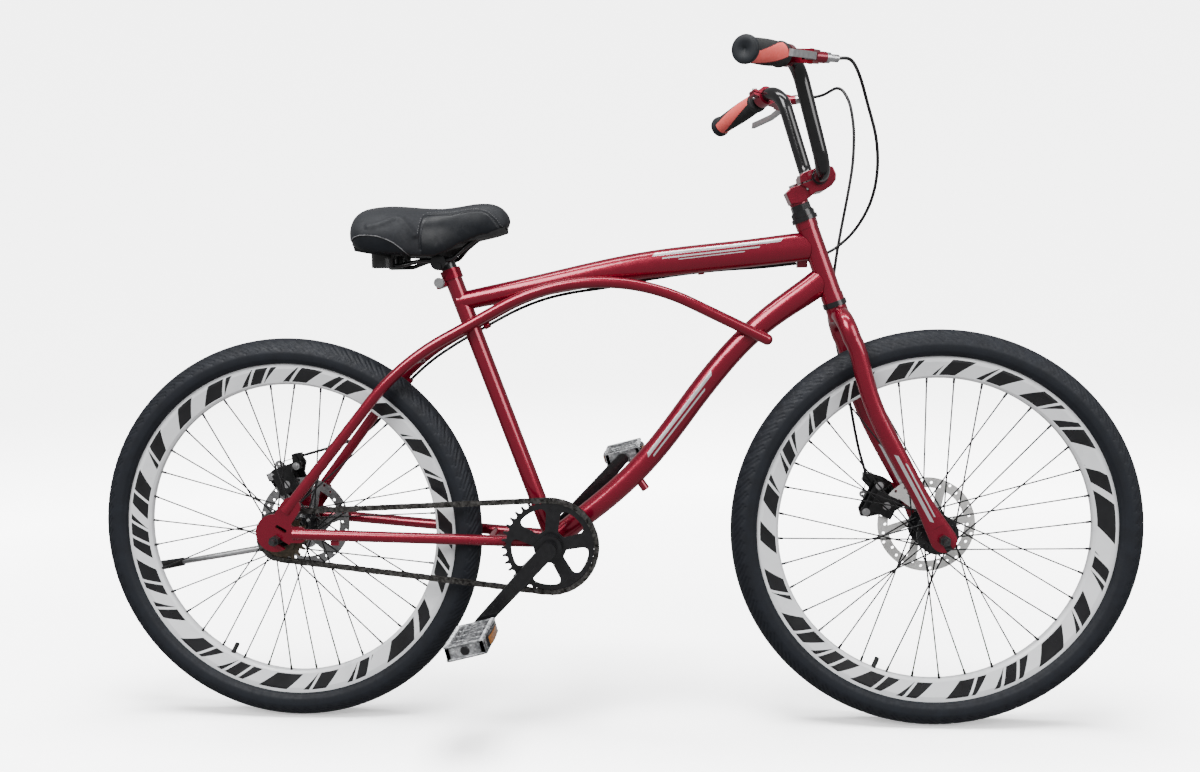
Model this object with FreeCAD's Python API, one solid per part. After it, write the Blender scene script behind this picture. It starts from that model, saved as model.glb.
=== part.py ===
import FreeCAD, Part
import math
import os
from FreeCAD import Vector as V

os.makedirs("parts", exist_ok=True)

# ------------------------------------------------------------------ driving dimensions (mm)
# Frame of the part: X forward, Y to the rider's left, Z up, origin on the ground midway
# between the axles in the bicycle's middle plane.
WHEELBASE = 1073.0
TYRE_R = 328.0            # 26 x 1.95 tyre
TYRE_SECTION_R = 25.0
RIM_EDGE_R = 286.0
RIM_INNER_R = 250.0
SPOKES = 36
CROSS_DEG = 60.0          # three-cross lacing
BB_X, BB_Z = -87.4, 311.5
SEAT_TOP_X, SEAT_TOP_Z = -249.0, 764.0
HEAD_TOP_X, HEAD_TOP_Z = 328.6, 831.3
HEAD_BOT_X, HEAD_BOT_Z = 374.2, 702.9
HEAD_R, HEAD_BORE = 16.5, 15.0
SEAT_TUBE_R, SEAT_TUBE_BORE = 14.3, 13.05
POST_R = 13.0
STAY_R, STAY_WALL = 9.0, 1.6
ARCH_Y = 23.4             # half spacing of the arch tubes beside the seat tube
DROP_Y = 67.5             # inner face of a rear dropout
FORK_Y = 50.0             # inner face of a fork end
PLATE = 5.0
STEERER_R, STEERER_BORE = 12.7, 11.1
BAR_R = 11.1
BAR_HALF = 270.0
RUN = 0.05                # radial running clearance
AXLE_R = 5.0
CHAIN_LINE = -46.0
PITCH = 12.7
COG_T, RING_T, LINKS = 20, 38, 100
CRANK = 170.0
CRANK_DEG = 47.2          # right arm points down and back by this angle
PEDAL_TILT = 14.0
ROTOR_R, ROTOR_T = 80.0, 2.0
FRONT_ROTOR_Y, REAR_ROTOR_Y = 38.0, 50.0
CABLE_R = 2.5
STAND_LEN = 305.0
LEVER_TILT = 6.0          # levers point below the level by this angle

X, Y, Z = V(1, 0, 0), V(0, 1, 0), V(0, 0, 1)
RA = V(-WHEELBASE / 2, 0, TYRE_R)
FA = V(WHEELBASE / 2, 0, TYRE_R)
BB = V(BB_X, 0, BB_Z)
HT = V(HEAD_TOP_X, 0, HEAD_TOP_Z)
HB = V(HEAD_BOT_X, 0, HEAD_BOT_Z)
ST = V(SEAT_TOP_X, 0, SEAT_TOP_Z)


def unit(v):
    return v * (1.0 / v.Length)


STEER = unit(HT - HB)     # up along the steering axis
SEAT = unit(ST - BB)      # up along the seat tube
HEAD_LEN = (HT - HB).Length


def cyl(p, d, r, h):
    return Part.makeCylinder(r, h, p, d)


def ycyl(x, z, y0, y1, r):
    return Part.makeCylinder(r, abs(y1 - y0), V(x, min(y0, y1), z), Y)


def ring(p, d, ro, ri, h):
    return cyl(p, d, ro, h).cut(cyl(p - unit(d) * 1, d, ri, h + 2))


def yring(x, z, y0, y1, ro, ri):
    lo, hi = min(y0, y1), max(y0, y1)
    return ycyl(x, z, lo, hi, ro).cut(ycyl(x, z, lo - 1, hi + 1, ri))


def poly(points):
    return Part.Face(Part.makePolygon(list(points) + [points[0]]))


def slab(points, y0, y1):
    """Side-view outline (x, z) given thickness from y0 to y1."""
    return poly([V(x, y0, z) for x, z in points]).extrude(V(0, y1 - y0, 0))


def bar2(x0, z0, x1, z1, w, y0, y1):
    """Round-ended flat bar in side view."""
    d = unit(V(x1 - x0, 0, z1 - z0))
    n = V(-d.z, 0, d.x) * (w / 2.0)
    a, b = V(x0, 0, z0), V(x1, 0, z1)
    q = [a + n, b + n, b - n, a - n]
    s = slab([(p.x, p.z) for p in q], y0, y1)
    return s.fuse(ycyl(x0, z0, y0, y1, w / 2.0)).fuse(ycyl(x1, z1, y0, y1, w / 2.0)).removeSplitter()


def taper2(x0, z0, r0, x1, z1, r1, y0, y1):
    """Flat arm with round ends of different radius."""
    d = unit(V(x1 - x0, 0, z1 - z0))
    n = V(-d.z, 0, d.x)
    a, b = V(x0, 0, z0), V(x1, 0, z1)
    q = [a + n * r0, b + n * r1, b - n * r1, a - n * r0]
    s = slab([(p.x, p.z) for p in q], y0, y1)
    return s.fuse(ycyl(x0, z0, y0, y1, r0)).fuse(ycyl(x1, z1, y0, y1, r1))


def hexnut(p, d, af, h, bore=0.0):
    d = unit(d)
    u = d.cross(X) if abs(d.x) < 0.9 else d.cross(Z)
    u = unit(u)
    w = d.cross(u)
    r = af / 2.0 / math.cos(math.pi / 6)
    pts = [p + u * (r * math.cos(i * math.pi / 3)) + w * (r * math.sin(i * math.pi / 3)) for i in range(6)]
    s = poly(pts).extrude(d * h)
    if bore:
        s = s.cut(cyl(p - d, d, bore, h + 2))
    return s


def revolve(profile, c):
    """Closed (radius, y) profile turned about the Y axis through c."""
    return poly([V(c.x + r, y, c.z) for r, y in profile]).revolve(V(c.x, 0, c.z), Y, 360)


def route(pts, radii):
    """Straight runs joined by tangent arcs."""
    edges, prev = [], pts[0]
    for i in range(1, len(pts) - 1):
        b = pts[i]
        u, w = unit(pts[i - 1] - b), unit(pts[i + 1] - b)
        turn = math.pi - u.getAngle(w)
        t = radii[i - 1] * math.tan(turn / 2)
        m = b + unit(u + w) * (radii[i - 1] / math.cos(turn / 2) - radii[i - 1])
        p1, p2 = b + u * t, b + w * t
        if (p1 - prev).Length > 1e-4:
            edges.append(Part.LineSegment(prev, p1).toShape())
        edges.append(Part.Arc(p1, m, p2).toShape())
        prev = p2
    if (pts[-1] - prev).Length > 1e-4:
        edges.append(Part.LineSegment(prev, pts[-1]).toShape())
    return Part.Wire(edges)


def sweep(wire, r):
    e = wire.Edges[0]
    p, d = e.valueAt(e.FirstParameter), e.tangentAt(e.FirstParameter)
    return wire.makePipeShell([Part.Wire(Part.makeCircle(r, p, d))], True, False)


def cord(pts):
    """Cable tube: every arc as large as its two runs allow."""
    radii = []
    for i in range(1, len(pts) - 1):
        a, c = pts[i - 1] - pts[i], pts[i + 1] - pts[i]
        turn = math.pi - a.getAngle(c)
        radii.append(0.45 * min(a.Length, c.Length) / math.tan(turn / 2))
    w = route(pts, radii)
    s = sweep(w, CABLE_R)
    print("  cable length %.0f, radii %s, volume ratio %.4f" % (
        w.Length, [round(r) for r in radii], s.Volume / (math.pi * CABLE_R ** 2 * w.Length)))
    return s


def section(c, d, up, a, b):
    d = unit(d)
    x = unit(up - d * up.dot(d))
    y = d.cross(x)
    return Part.Wire(Part.Ellipse(c + x * a, c + y * b, c).toShape())


def loft(stations, up):
    """Stations are (centre, half size along up, half size across)."""
    ws = []
    for i, (c, a, b) in enumerate(stations):
        p = stations[max(i - 1, 0)][0]
        q = stations[min(i + 1, len(stations) - 1)][0]
        ws.append(section(c, q - p, up, a, b))
    return Part.makeLoft(ws, True, False)


def tube_loft(stations, up, wall):
    return loft(stations, up), loft([(c, a - wall, b - wall) for c, a, b in stations], up)


def flip(s):
    return s.mirror(V(0, 0, 0), Y)


def turned(s, c, d, deg):
    t = s.copy()
    t.rotate(c, d, deg)
    return t


NODES = []


def out(name, *shapes):
    solids = [q for s in shapes for q in s.Solids]
    for q in solids:
        if not q.isValid() or q.Volume <= 0:
            print("  !! invalid solid in", name, q.Volume)
    body = solids[0] if len(solids) == 1 else Part.makeCompound(solids)
    body.exportStep("parts/%s.step" % name)
    NODES.append(name)
    print(name, len(solids), round(sum(q.Volume for q in solids)))


# ------------------------------------------------------------------ frame tubes
bb_solid = ycyl(BB.x, BB.z, -34, 34, 20)
bb_shell = bb_solid.cut(ycyl(BB.x, BB.z, -40, 40, 17))
head_solid = cyl(HB, STEER, HEAD_R, HEAD_LEN)
head_tube = head_solid.cut(cyl(HB - STEER, STEER, HEAD_BORE, HEAD_LEN + 2))
# raised collars at both ends of the head tube
for p in (HB, HT - STEER * 12):
    head_tube = head_tube.fuse(ring(p, STEER, HEAD_R + 1.0, HEAD_BORE, 12))
head_tube = head_tube.removeSplitter()
head_env = cyl(HB, STEER, HEAD_R + 1.0, HEAD_LEN)

seat_len = (ST - BB).Length
seat_solid = cyl(BB, SEAT, SEAT_TUBE_R, seat_len)
seat_tube = seat_solid.cut(cyl(BB, SEAT, SEAT_TUBE_BORE, seat_len + 1)).cut(bb_solid)
seat_tube = max(seat_tube.Solids, key=lambda s: s.Volume)

top_st = [(V(-236, 0, 711.5), 15.5, 15.0), (V(-200, 0, 718.5), 16.0, 15.0), (V(-100, 0, 736.5), 18.0, 15.5),
          (V(0, 0, 755.0), 20.5, 16.0), (V(73, 0, 766.0), 22.0, 16.5), (V(153, 0, 774.5), 22.5, 17.0),
          (V(249, 0, 783.0), 22.5, 17.0), (V(338, 0, 792.0), 22.5, 16.0)]
top_solid, top_core = tube_loft(top_st, Z, 1.8)
top_tube = top_solid.cut(top_core).cut(head_env).cut(seat_solid)
top_tube = max(top_tube.Solids, key=lambda s: s.Volume)

down_st = [(V(356, 0, 738.0), 21.5, 16.0), (V(305, 0, 702.0), 20.0, 17.0), (V(249, 0, 659.5), 18.5, 17.0),
           (V(200.6, 0, 610.5), 18.5, 17.0), (V(151.5, 0, 549.5), 18.5, 17.0), (V(91, 0, 469.5), 18.5, 17.0),
           (V(34, 0, 408.5), 18.5, 17.0), (V(-30, 0, 355.0), 18.0, 17.0), (V(-82, 0, 315.0), 17.5, 17.0)]
down_solid, down_core = tube_loft(down_st, V(-0.7, 0, 0.7), 1.8)
down_tube = down_solid.cut(down_core).cut(head_env).cut(bb_solid).cut(seat_solid).cut(top_solid)
down_tube = max(down_tube.Solids, key=lambda s: s.Volume)

# rear dropouts: plate with an axle slot that opens forward and a lightening slot above it
def dropout(y0, y1):
    s = ycyl(-538.5, 339.5, y0, y1, 31.5)
    s = s.fuse(bar2(-536, 345, -509, 383, 32, y0, y1))
    s = s.fuse(bar2(-530, 337, -498, 336.5, 27, y0, y1))
    s = s.cut(slab([(-700, 200), (-400, 200), (-400, 306), (-700, 306)], y0 - 1, y1 + 1))
    d = unit(V(22, 0, -14))
    n = V(-d.z, 0, d.x) * 5.2
    a, b = V(RA.x, 0, RA.z), V(RA.x, 0, RA.z) + d * 60
    slot = slab([(p.x, p.z) for p in (a + n, b + n, b - n, a - n)], y0 - 1, y1 + 1).fuse(ycyl(RA.x, RA.z, y0 - 1, y1 + 1, 5.2))
    s = s.cut(slot)
    s = s.cut(bar2(-533, 350, -521, 343, 6.5, y0 - 1, y1 + 1))
    return s.removeSplitter()


drop_r = dropout(-DROP_Y - PLATE, -DROP_Y)
# left dropout carries the tab for the disc caliper
tab = slab([(-520, 352), (-566, 340), (-604, 397), (-607, 410), (-597, 419), (-562, 431), (-563, 446), (-547, 449), (-537, 433), (-541, 415), (-529, 385)],
           DROP_Y, DROP_Y + PLATE)
stop_r = slab([(-562, 434), (-548, 437), (-548, 448), (-562, 446)], DROP_Y, DROP_Y + 15.5)
tab = tab.fuse(stop_r).cut(cyl(V(-500, 79.3, 455.0), unit(V(-40, 0, -11)), CABLE_R + 0.05, 120))
drop_l = flip(dropout(-DROP_Y - PLATE, -DROP_Y)).fuse(tab)
d_ = unit(V(22, 0, -14))
n_ = V(-d_.z, 0, d_.x) * 5.2
a_, b_ = V(RA.x, 0, RA.z), V(RA.x, 0, RA.z) + d_ * 60
drop_l = drop_l.cut(slab([(p.x, p.z) for p in (a_ + n_, b_ + n_, b_ - n_, a_ - n_)], DROP_Y - 1, DROP_Y + PLATE + 1))
drop_l = drop_l.cut(ycyl(RA.x - 27.72, RA.z + 68.61, DROP_Y - 1, DROP_Y + PLATE + 1, 11.0))
for t in (-25, 25):
    a = math.radians(112.0)
    drop_l = drop_l.cut(ycyl(RA.x + 97 * math.cos(a) - t * math.sin(a), RA.z + 97 * math.sin(a) + t * math.cos(a), DROP_Y - 1, DROP_Y + PLATE + 1, 3.05))
drop_l = max(drop_l.removeSplitter().Solids, key=lambda s: s.Volume)

# arch stays: seat stay, bend beside the seat tube, arch, end on the down tube
arch_pts = [V(-519, -69.6, 375.0), V(-326, -40.3, 615.0), V(-215, -ARCH_Y, 673.8), V(-10.5, -ARCH_Y, 782.2), V(266, -ARCH_Y, 644.2)]
arch_w = route(arch_pts, [400.0, 480.0, 340.0])
arch_solid = sweep(arch_w, STAY_R)
arch_core = sweep(arch_w, STAY_R - STAY_WALL)
# rounded cap on the front end
arch_end = arch_pts[-1]
arch_dir = unit(arch_pts[-1] - arch_pts[-2])
cap = Part.makeSphere(STAY_R, arch_end).common(cyl(arch_end, arch_dir, STAY_R + 1, STAY_R + 1))
arch = arch_solid.cut(arch_core).fuse(cap)
arch = arch.cut(down_solid).cut(top_solid).cut(seat_solid).cut(drop_r)
arch_r = max(arch.Solids, key=lambda s: s.Volume)
arch_l = flip(arch_solid.cut(arch_core).fuse(cap)).cut(down_solid).cut(top_solid).cut(seat_solid).cut(drop_l)
arch_l = max(arch_l.Solids, key=lambda s: s.Volume)

# chain stays
cs_a, cs_b = V(-508, -69.8, 337.3), V(-92, -23.6, 312.5)
cs_d = unit(cs_b - cs_a)
cs_solid = cyl(cs_a, cs_d, STAY_R, (cs_b - cs_a).Length)
cs = cs_solid.cut(cyl(cs_a - cs_d, cs_d, STAY_R - STAY_WALL, (cs_b - cs_a).Length + 2)).cut(bb_solid).cut(seat_solid).cut(down_solid)
cs = cs.cut(ycyl(BB.x, BB.z, -45, -33.9, 22.0))
cs_r = max(cs.cut(drop_r).Solids, key=lambda s: s.Volume)
cs_l = max(flip(cs).cut(drop_l).Solids, key=lambda s: s.Volume)

# bridges, cable guides and small lugs
env = [arch_solid, flip(arch_solid), cs_solid, flip(cs_solid)]


def trimmed(s, *others):
    for o in others:
        s = s.cut(o)
    return max(s.Solids, key=lambda q: q.Volume)


br = min(arch_w.discretize(Number=600), key=lambda q: abs(q.x + 309))
bridge_top = trimmed(ycyl(br.x, br.z, -44, 44, 7), *env)
bridge_low = trimmed(ycyl(-190, 318, -40, 40, 6), *env)
lug_down = trimmed(cyl(V(56, 0, 416.8), unit(V(0.55, 0, -0.83)), 7.0, 24), down_solid)
tab_cs = trimmed(slab([(-448, 330), (-434, 330), (-434, 317), (-448, 317)], -64, -60), cs_solid)

# ------------------------------------------------------------------ headset, bottom bracket and seat clamp
low_cup = cyl(HB - STEER * 8.2, STEER, 19.0, 8.2).fuse(cyl(HB, STEER, HEAD_BORE - 0.02, 10)).cut(
    cyl(HB - STEER * 20, STEER, 13.4, 60)).cut(cyl(HB - STEER * 20, STEER, 16.0, 19.4)).removeSplitter()
up_cup = cyl(HT, STEER, 20.5, 7.0).fuse(cyl(HT - STEER * 10, STEER, HEAD_BORE - 0.02, 10)).cut(
    cyl(HT - STEER * 40, STEER, 13.4, 80)).cut(cyl(HT + STEER * 0.6, STEER, 16.0, 20)).removeSplitter()
low_brg = ring(HB - STEER * 6.2, STEER, 15.95, STEERER_R + RUN, 5.5)
up_brg = ring(HT + STEER * 0.8, STEER, 15.95, STEERER_R + RUN, 5.5)

bb_cups = []
for s in (-1, 1):
    a = yring(BB.x, BB.z, s * 20, s * 34, 16.98, 13.6)
    b = yring(BB.x, BB.z, s * 34, s * 37.5, 21.5, 13.6)
    bb_cups.append(a.fuse(b).removeSplitter())
    bb_cups.append(yring(BB.x, BB.z, s * 24, s * 36, 13.55, 8.0 + RUN))

clamp_a = ST - SEAT * 16
seat_clamp = ring(clamp_a, SEAT, 17.0, SEAT_TUBE_R + 0.03, 17)
ear = Part.makeBox(24, 22, 14, V(-24, -11, -7))
ear.rotate(V(0, 0, 0), Y, math.degrees(math.atan2(SEAT.x, SEAT.z)))
ear.translate(V(-249, 0, 747.5))
seat_clamp = seat_clamp.fuse(ear.cut(cyl(clamp_a - SEAT * 20, SEAT, 15.5, 60))).removeSplitter()
slit = Part.makeBox(40, 2.4, 60, V(-34, -1.2, -30))
slit.rotate(V(0, 0, 0), Y, math.degrees(math.atan2(SEAT.x, SEAT.z)))
slit.translate(V(-256, 0, 747.5))
bolt_p = V(-265.2, 0, 743.6)
seat_clamp = seat_clamp.cut(slit.cut(seat_solid)).cut(ycyl(bolt_p.x, bolt_p.z, -30, 30, 3.2))
seat_bolt = ycyl(bolt_p.x, bolt_p.z, -14, 16, 3.1).fuse(ycyl(bolt_p.x, bolt_p.z, -15.5, -11.05, 8.2)).fuse(
    hexnut(V(bolt_p.x, 11.05, bolt_p.z), Y, 12, 6)).removeSplitter()

# ------------------------------------------------------------------ rear axle set
rear_axle = ycyl(RA.x, RA.z, -81.5, 85.5, AXLE_R).fuse(ycyl(RA.x, RA.z, -90, -81.5, 4.8)).fuse(ycyl(RA.x, RA.z, 85.5, 94, 4.8)).removeSplitter()
rear_rings = [yring(RA.x, RA.z, s * 45.5, s * 53.2, 11.0, AXLE_R + 0.02) for s in (-1, 1)]
rear_spacers = [yring(RA.x, RA.z, s * 54.5, s * DROP_Y, 9.0, AXLE_R + 0.02) for s in (-1, 1)]
rear_inner = [yring(RA.x, RA.z, s * 53.2, s * 54.5, 8.0, AXLE_R + 0.02) for s in (-1, 1)]
nut_r = hexnut(V(RA.x, -DROP_Y - PLATE, RA.z), -Y, 15, 9, AXLE_R + 0.02)

# ------------------------------------------------------------------ kickstand on the left axle end
SK = V(-540, 83.5, 287.0)
f_dir = unit(V(-0.985, 0.012, -0.173))
d_dir = unit(V(0.12, 0.30, -0.946))
SAX = unit(f_dir.cross(d_dir))
print("kickstand pivot", SK, "axis", SAX, "sweep deg", math.degrees(f_dir.getAngle(d_dir)))
# bracket: plate under the axle nut, arm down to the pivot, hook on the chain stay
kb_y0, kb_y1 = DROP_Y + PLATE, DROP_Y + PLATE + 4
bracket = bar2(RA.x, RA.z, -540, 288, 26, kb_y0, kb_y1).fuse(bar2(-540, 288, -505, 322, 16, kb_y0, kb_y1))
bracket = bracket.cut(flip(cs_solid)).cut(ycyl(RA.x, RA.z, kb_y0 - 1, kb_y1 + 1, AXLE_R + 0.05))
pin = cyl(SK + SAX * 12, -SAX, 5.0, 26)
bracket = bracket.cut(cyl(SK + SAX * 14, -SAX, 5.0, 20)).removeSplitter()
bracket = max(bracket.Solids, key=lambda s: s.Volume)
pin_head = cyl(SK - SAX * 8.6, -SAX, 9.0, 5.4)
pin = pin.fuse(pin_head).removeSplitter()
nut_l = hexnut(V(RA.x, kb_y1, RA.z), Y, 15, 9, AXLE_R + 0.02)
leg_eye = cyl(SK + SAX * 3.2, -SAX, 10.5, 11.4)
leg_bar = Part.makeCone(6.5, 5.0, STAND_LEN - 60, SK + f_dir * 4, f_dir)
leg = leg_eye.fuse(leg_bar).cut(cyl(SK + SAX * 20, -SAX, 5.0 + RUN, 50)).removeSplitter()
leg = max(leg.Solids, key=lambda s: s.Volume)
foot_a = SK + f_dir * (STAND_LEN - 56)
leg_stub = cyl(SK + f_dir * (STAND_LEN - 57), f_dir, 4.2, 30)
leg = leg.fuse(leg_stub).removeSplitter()
foot = Part.makeCone(7.5, 9.0, 52, foot_a, f_dir).cut(cyl(foot_a - f_dir, f_dir, 4.25, 31))

# ------------------------------------------------------------------ drive: sprockets and chain
def pitch_r(n):
    return PITCH / 2 / math.sin(math.pi / n)


R1, R2 = pitch_r(COG_T), pitch_r(RING_T)
e_ = V(BB.x - RA.x, 0, BB.z - RA.z)
D_ = e_.Length
e_ = unit(e_)
n_up = V(-e_.z, 0, e_.x)
al = math.asin((R2 - R1) / D_)
mu = n_up * math.cos(al) - e_ * math.sin(al)
ml = n_up * -math.cos(al) - e_ * math.sin(al)
span = D_ * math.cos(al)
arc2, arc1 = R2 * (math.pi + 2 * al), R1 * (math.pi - 2 * al)
total = 2 * span + arc2 + arc1
step = total / LINKS
print("chain pitch along path %.4f for %d links" % (step, LINKS))


def rotv(v, a):
    """Turn a side-view vector from +Z towards +X by a radians (clockwise seen from -Y)."""
    return V(v.x * math.cos(a) + v.z * math.sin(a), 0, -v.x * math.sin(a) + v.z * math.cos(a))


def chain_point(s):
    s = s % total
    if s < span:
        return RA + mu * R1 + (BB + mu * R2 - RA - mu * R1) * (s / span)
    s -= span
    if s < arc2:
        return BB + rotv(mu, s / R2) * R2
    s -= arc2
    if s < span:
        return BB + ml * R2 + (RA + ml * R1 - BB - ml * R2) * (s / span)
    s -= span
    return RA + rotv(ml, s / R1) * R1


rollers = [chain_point((k + 0.35) * step) for k in range(LINKS)]


def phase(c, r, want):
    best = min((p for p in rollers if abs((p - c).Length - r) < 0.05), key=lambda p: unit(p - c).getAngle(want))
    v = best - c
    return math.atan2(v.z, v.x)


def sprocket(c, n, ph, y0, y1, tip):
    r = pitch_r(n)
    s = ycyl(c.x, c.z, y0, y1, r + tip)
    q, up = 4.55, 6.0
    prof = [V(r, y0 - 1, -q), V(r + up, y0 - 1, -q - 1.6), V(r + up, y0 - 1, q + 1.6), V(r, y0 - 1, q)]
    seat = Part.Wire([Part.LineSegment(prof[0], prof[1]).toShape(), Part.LineSegment(prof[1], prof[2]).toShape(),
                      Part.LineSegment(prof[2], prof[3]).toShape(),
                      Part.Arc(prof[3], V(r - q, y0 - 1, 0), prof[0]).toShape()])
    gap = Part.Face(seat).extrude(V(0, y1 - y0 + 2, 0))
    gaps = []
    for i in range(n):
        g = gap.copy()
        g.rotate(V(0, 0, 0), Y, -math.degrees(ph) - i * 360.0 / n)
        g.translate(V(c.x, 0, c.z))
        gaps.append(g)
    return s.cut(Part.makeCompound(gaps))


ph1, ph2 = phase(RA, R1, -e_), phase(BB, R2, e_)
cog = sprocket(RA, COG_T, ph1, CHAIN_LINE - 1.3, CHAIN_LINE + 1.3, 3.2)
cog = cog.fuse(ycyl(RA.x, RA.z, -53.0, -39.0, 27.0)).cut(ycyl(RA.x, RA.z, -60, -30, 17.0 + RUN)).removeSplitter()
chainring = sprocket(BB, RING_T, ph2, CHAIN_LINE - 1.3, CHAIN_LINE + 1.3, 3.2)
for i in range(5):
    a0 = math.radians(-CRANK_DEG + 180 + 36 + i * 72)
    wp = [V(BB.x + r * math.cos(a0 + math.radians(d)), -60, BB.z - r * math.sin(a0 + math.radians(d)))
          for r, d in ((64.0, -25.0), (64.0, 0), (64.0, 25.0), (27.0, 13.0), (27.0, 0), (27.0, -13.0))]
    win = Part.Face(Part.Wire([Part.Arc(wp[0], wp[1], wp[2]).toShape(), Part.LineSegment(wp[2], wp[3]).toShape(),
                               Part.Arc(wp[3], wp[4], wp[5]).toShape(), Part.LineSegment(wp[5], wp[0]).toShape()])).extrude(V(0, 30, 0))
    for lo, hi, fr in ((40.0, 90.0, 8.5), (0.0, 40.0, 4.5)):
        es = [e for e in win.Edges if abs(e.Vertexes[0].Point.y - e.Vertexes[-1].Point.y) > 25
              and lo < math.hypot(e.Vertexes[0].Point.x - BB.x, e.Vertexes[0].Point.z - BB.z) < hi]
        if lo < 20:
            es = sorted(es, key=lambda e: math.hypot(e.Vertexes[0].Point.x - BB.x, e.Vertexes[0].Point.z - BB.z))[:2]
        win = win.makeFillet(fr, es)
    chainring = chainring.cut(win)
chainring = chainring.cut(ycyl(BB.x, BB.z, -60, -30, 16.0))


def stadium(h, y0, y1):
    return slab([(-step / 2, -h), (step / 2, -h), (step / 2, h), (-step / 2, h)], y0, y1).fuse(
        ycyl(-step / 2, 0, y0, y1, h)).fuse(ycyl(step / 2, 0, y0, y1, h)).removeSplitter()


inner = stadium(4.1, 1.75, 2.7).fuse(stadium(4.1, -2.7, -1.75))
outer = stadium(4.1, 2.85, 3.8).fuse(stadium(4.1, -3.8, -2.85))
for sx in (-1, 1):
    inner = inner.fuse(ycyl(sx * step / 2, 0, -1.75, 1.75, 3.85))
    outer = outer.fuse(ycyl(sx * step / 2, 0, -4.4, 4.4, 1.7))
for sx in (-1, 1):
    inner = inner.cut(ycyl(sx * step / 2, 0, -5, 5, 1.9))
inner, outer = inner.removeSplitter().Solids[0], outer.removeSplitter().Solids[0]
chain = []
for k in range(LINKS):
    a, b = rollers[k], rollers[(k + 1) % LINKS]
    m = (a + b) * 0.5
    s = (inner if k % 2 == 0 else outer).copy()
    s.rotate(V(0, 0, 0), Y, -math.degrees(math.atan2(b.z - a.z, b.x - a.x)))
    s.translate(V(m.x, CHAIN_LINE, m.z))
    chain.append(s)

# cranks, spindle, pedal axles
cr = V(-math.cos(math.radians(CRANK_DEG)), 0, -math.sin(math.radians(CRANK_DEG)))
PR, PL = BB + cr * CRANK, BB - cr * CRANK
spindle = ycyl(BB.x, BB.z, -60, 60, 8.0).fuse(ycyl(BB.x, BB.z, -71.5, 71.5, 7.0)).removeSplitter()
arm_r = taper2(BB.x, BB.z, 13, PR.x, PR.z, 10, -74, -61).fuse(ycyl(BB.x, BB.z, -61, -47.3, 21)).fuse(ycyl(BB.x, BB.z, -48, -41.5, 15.97))
arm_r = arm_r.cut(ycyl(BB.x, BB.z, -71.52, -60.0, 7.02)).cut(ycyl(BB.x, BB.z, -60.0, -30, 8.02)).cut(ycyl(PR.x, PR.z, -90, -50, 6.32)).removeSplitter()
arm_l = taper2(BB.x, BB.z, 13, PL.x, PL.z, 10, 61, 74).fuse(ycyl(BB.x, BB.z, 46, 61, 15))
arm_l = arm_l.cut(ycyl(BB.x, BB.z, 60.0, 71.52, 7.02)).cut(ycyl(BB.x, BB.z, 30, 60.0, 8.02)).cut(ycyl(PL.x, PL.z, 50, 90, 6.32)).removeSplitter()
pax_r = ycyl(PR.x, PR.z, -61, -77.5, 6.3).fuse(ycyl(PR.x, PR.z, -77.5, -81.5, 8.5)).fuse(ycyl(PR.x, PR.z, -81.5, -172, 6.0)).removeSplitter()
pax_l = ycyl(PL.x, PL.z, 61, 77.5, 6.3).fuse(ycyl(PL.x, PL.z, 77.5, 81.5, 8.5)).fuse(ycyl(PL.x, PL.z, 81.5, 172, 6.0)).removeSplitter()


# pedal: cage with a barrel, tread rails and end caps; reflectors in the front and rear faces
def pedal(c, s):
    y0, y1 = s * 83.0, s * 178.0
    w = slab([(-34, -9), (-31, -13), (31, -13), (34, -9), (34, 9), (31, 13), (-31, 13), (-34, 9)], y0, y1)
    for sx in (-1, 1):
        xs = sorted((sx * 12.5, sx * 27.0))
        w = w.cut(slab([(xs[0], -30), (xs[1], -30), (xs[1], 30), (xs[0], 30)], s * 92.0, s * 126.0))
        w = w.cut(slab([(xs[0], -30), (xs[1], -30), (xs[1], 30), (xs[0], 30)], s * 132.0, s * 168.0))
        w = w.cut(slab([(sx * 31.5, -6.5), (sx * 40, -6.5), (sx * 40, 6.5), (sx * 31.5, 6.5)], s * 104.0, s * 158.0))
    w = w.cut(ycyl(0, 0, y0 - s, s * 172.5, 6.0 + RUN)).removeSplitter()
    refl = [slab([(sx * 31.6, -6.3), (sx * 33.8, -6.3), (sx * 33.8, 6.3), (sx * 31.6, 6.3)], s * 104.2, s * 157.8) for sx in (-1, 1)]
    parts = []
    for q in [w] + refl:
        q = q.copy()
        q.rotate(V(0, 0, 0), Y, -PEDAL_TILT)
        q.translate(V(c.x, 0, c.z))
        parts.append(q)
    return parts


ped_r, ped_l = pedal(PR, -1), pedal(PL, 1)

# ------------------------------------------------------------------ wheels
def arc_edge(a, m, b):
    return Part.Arc(a, m, b).toShape()


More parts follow.
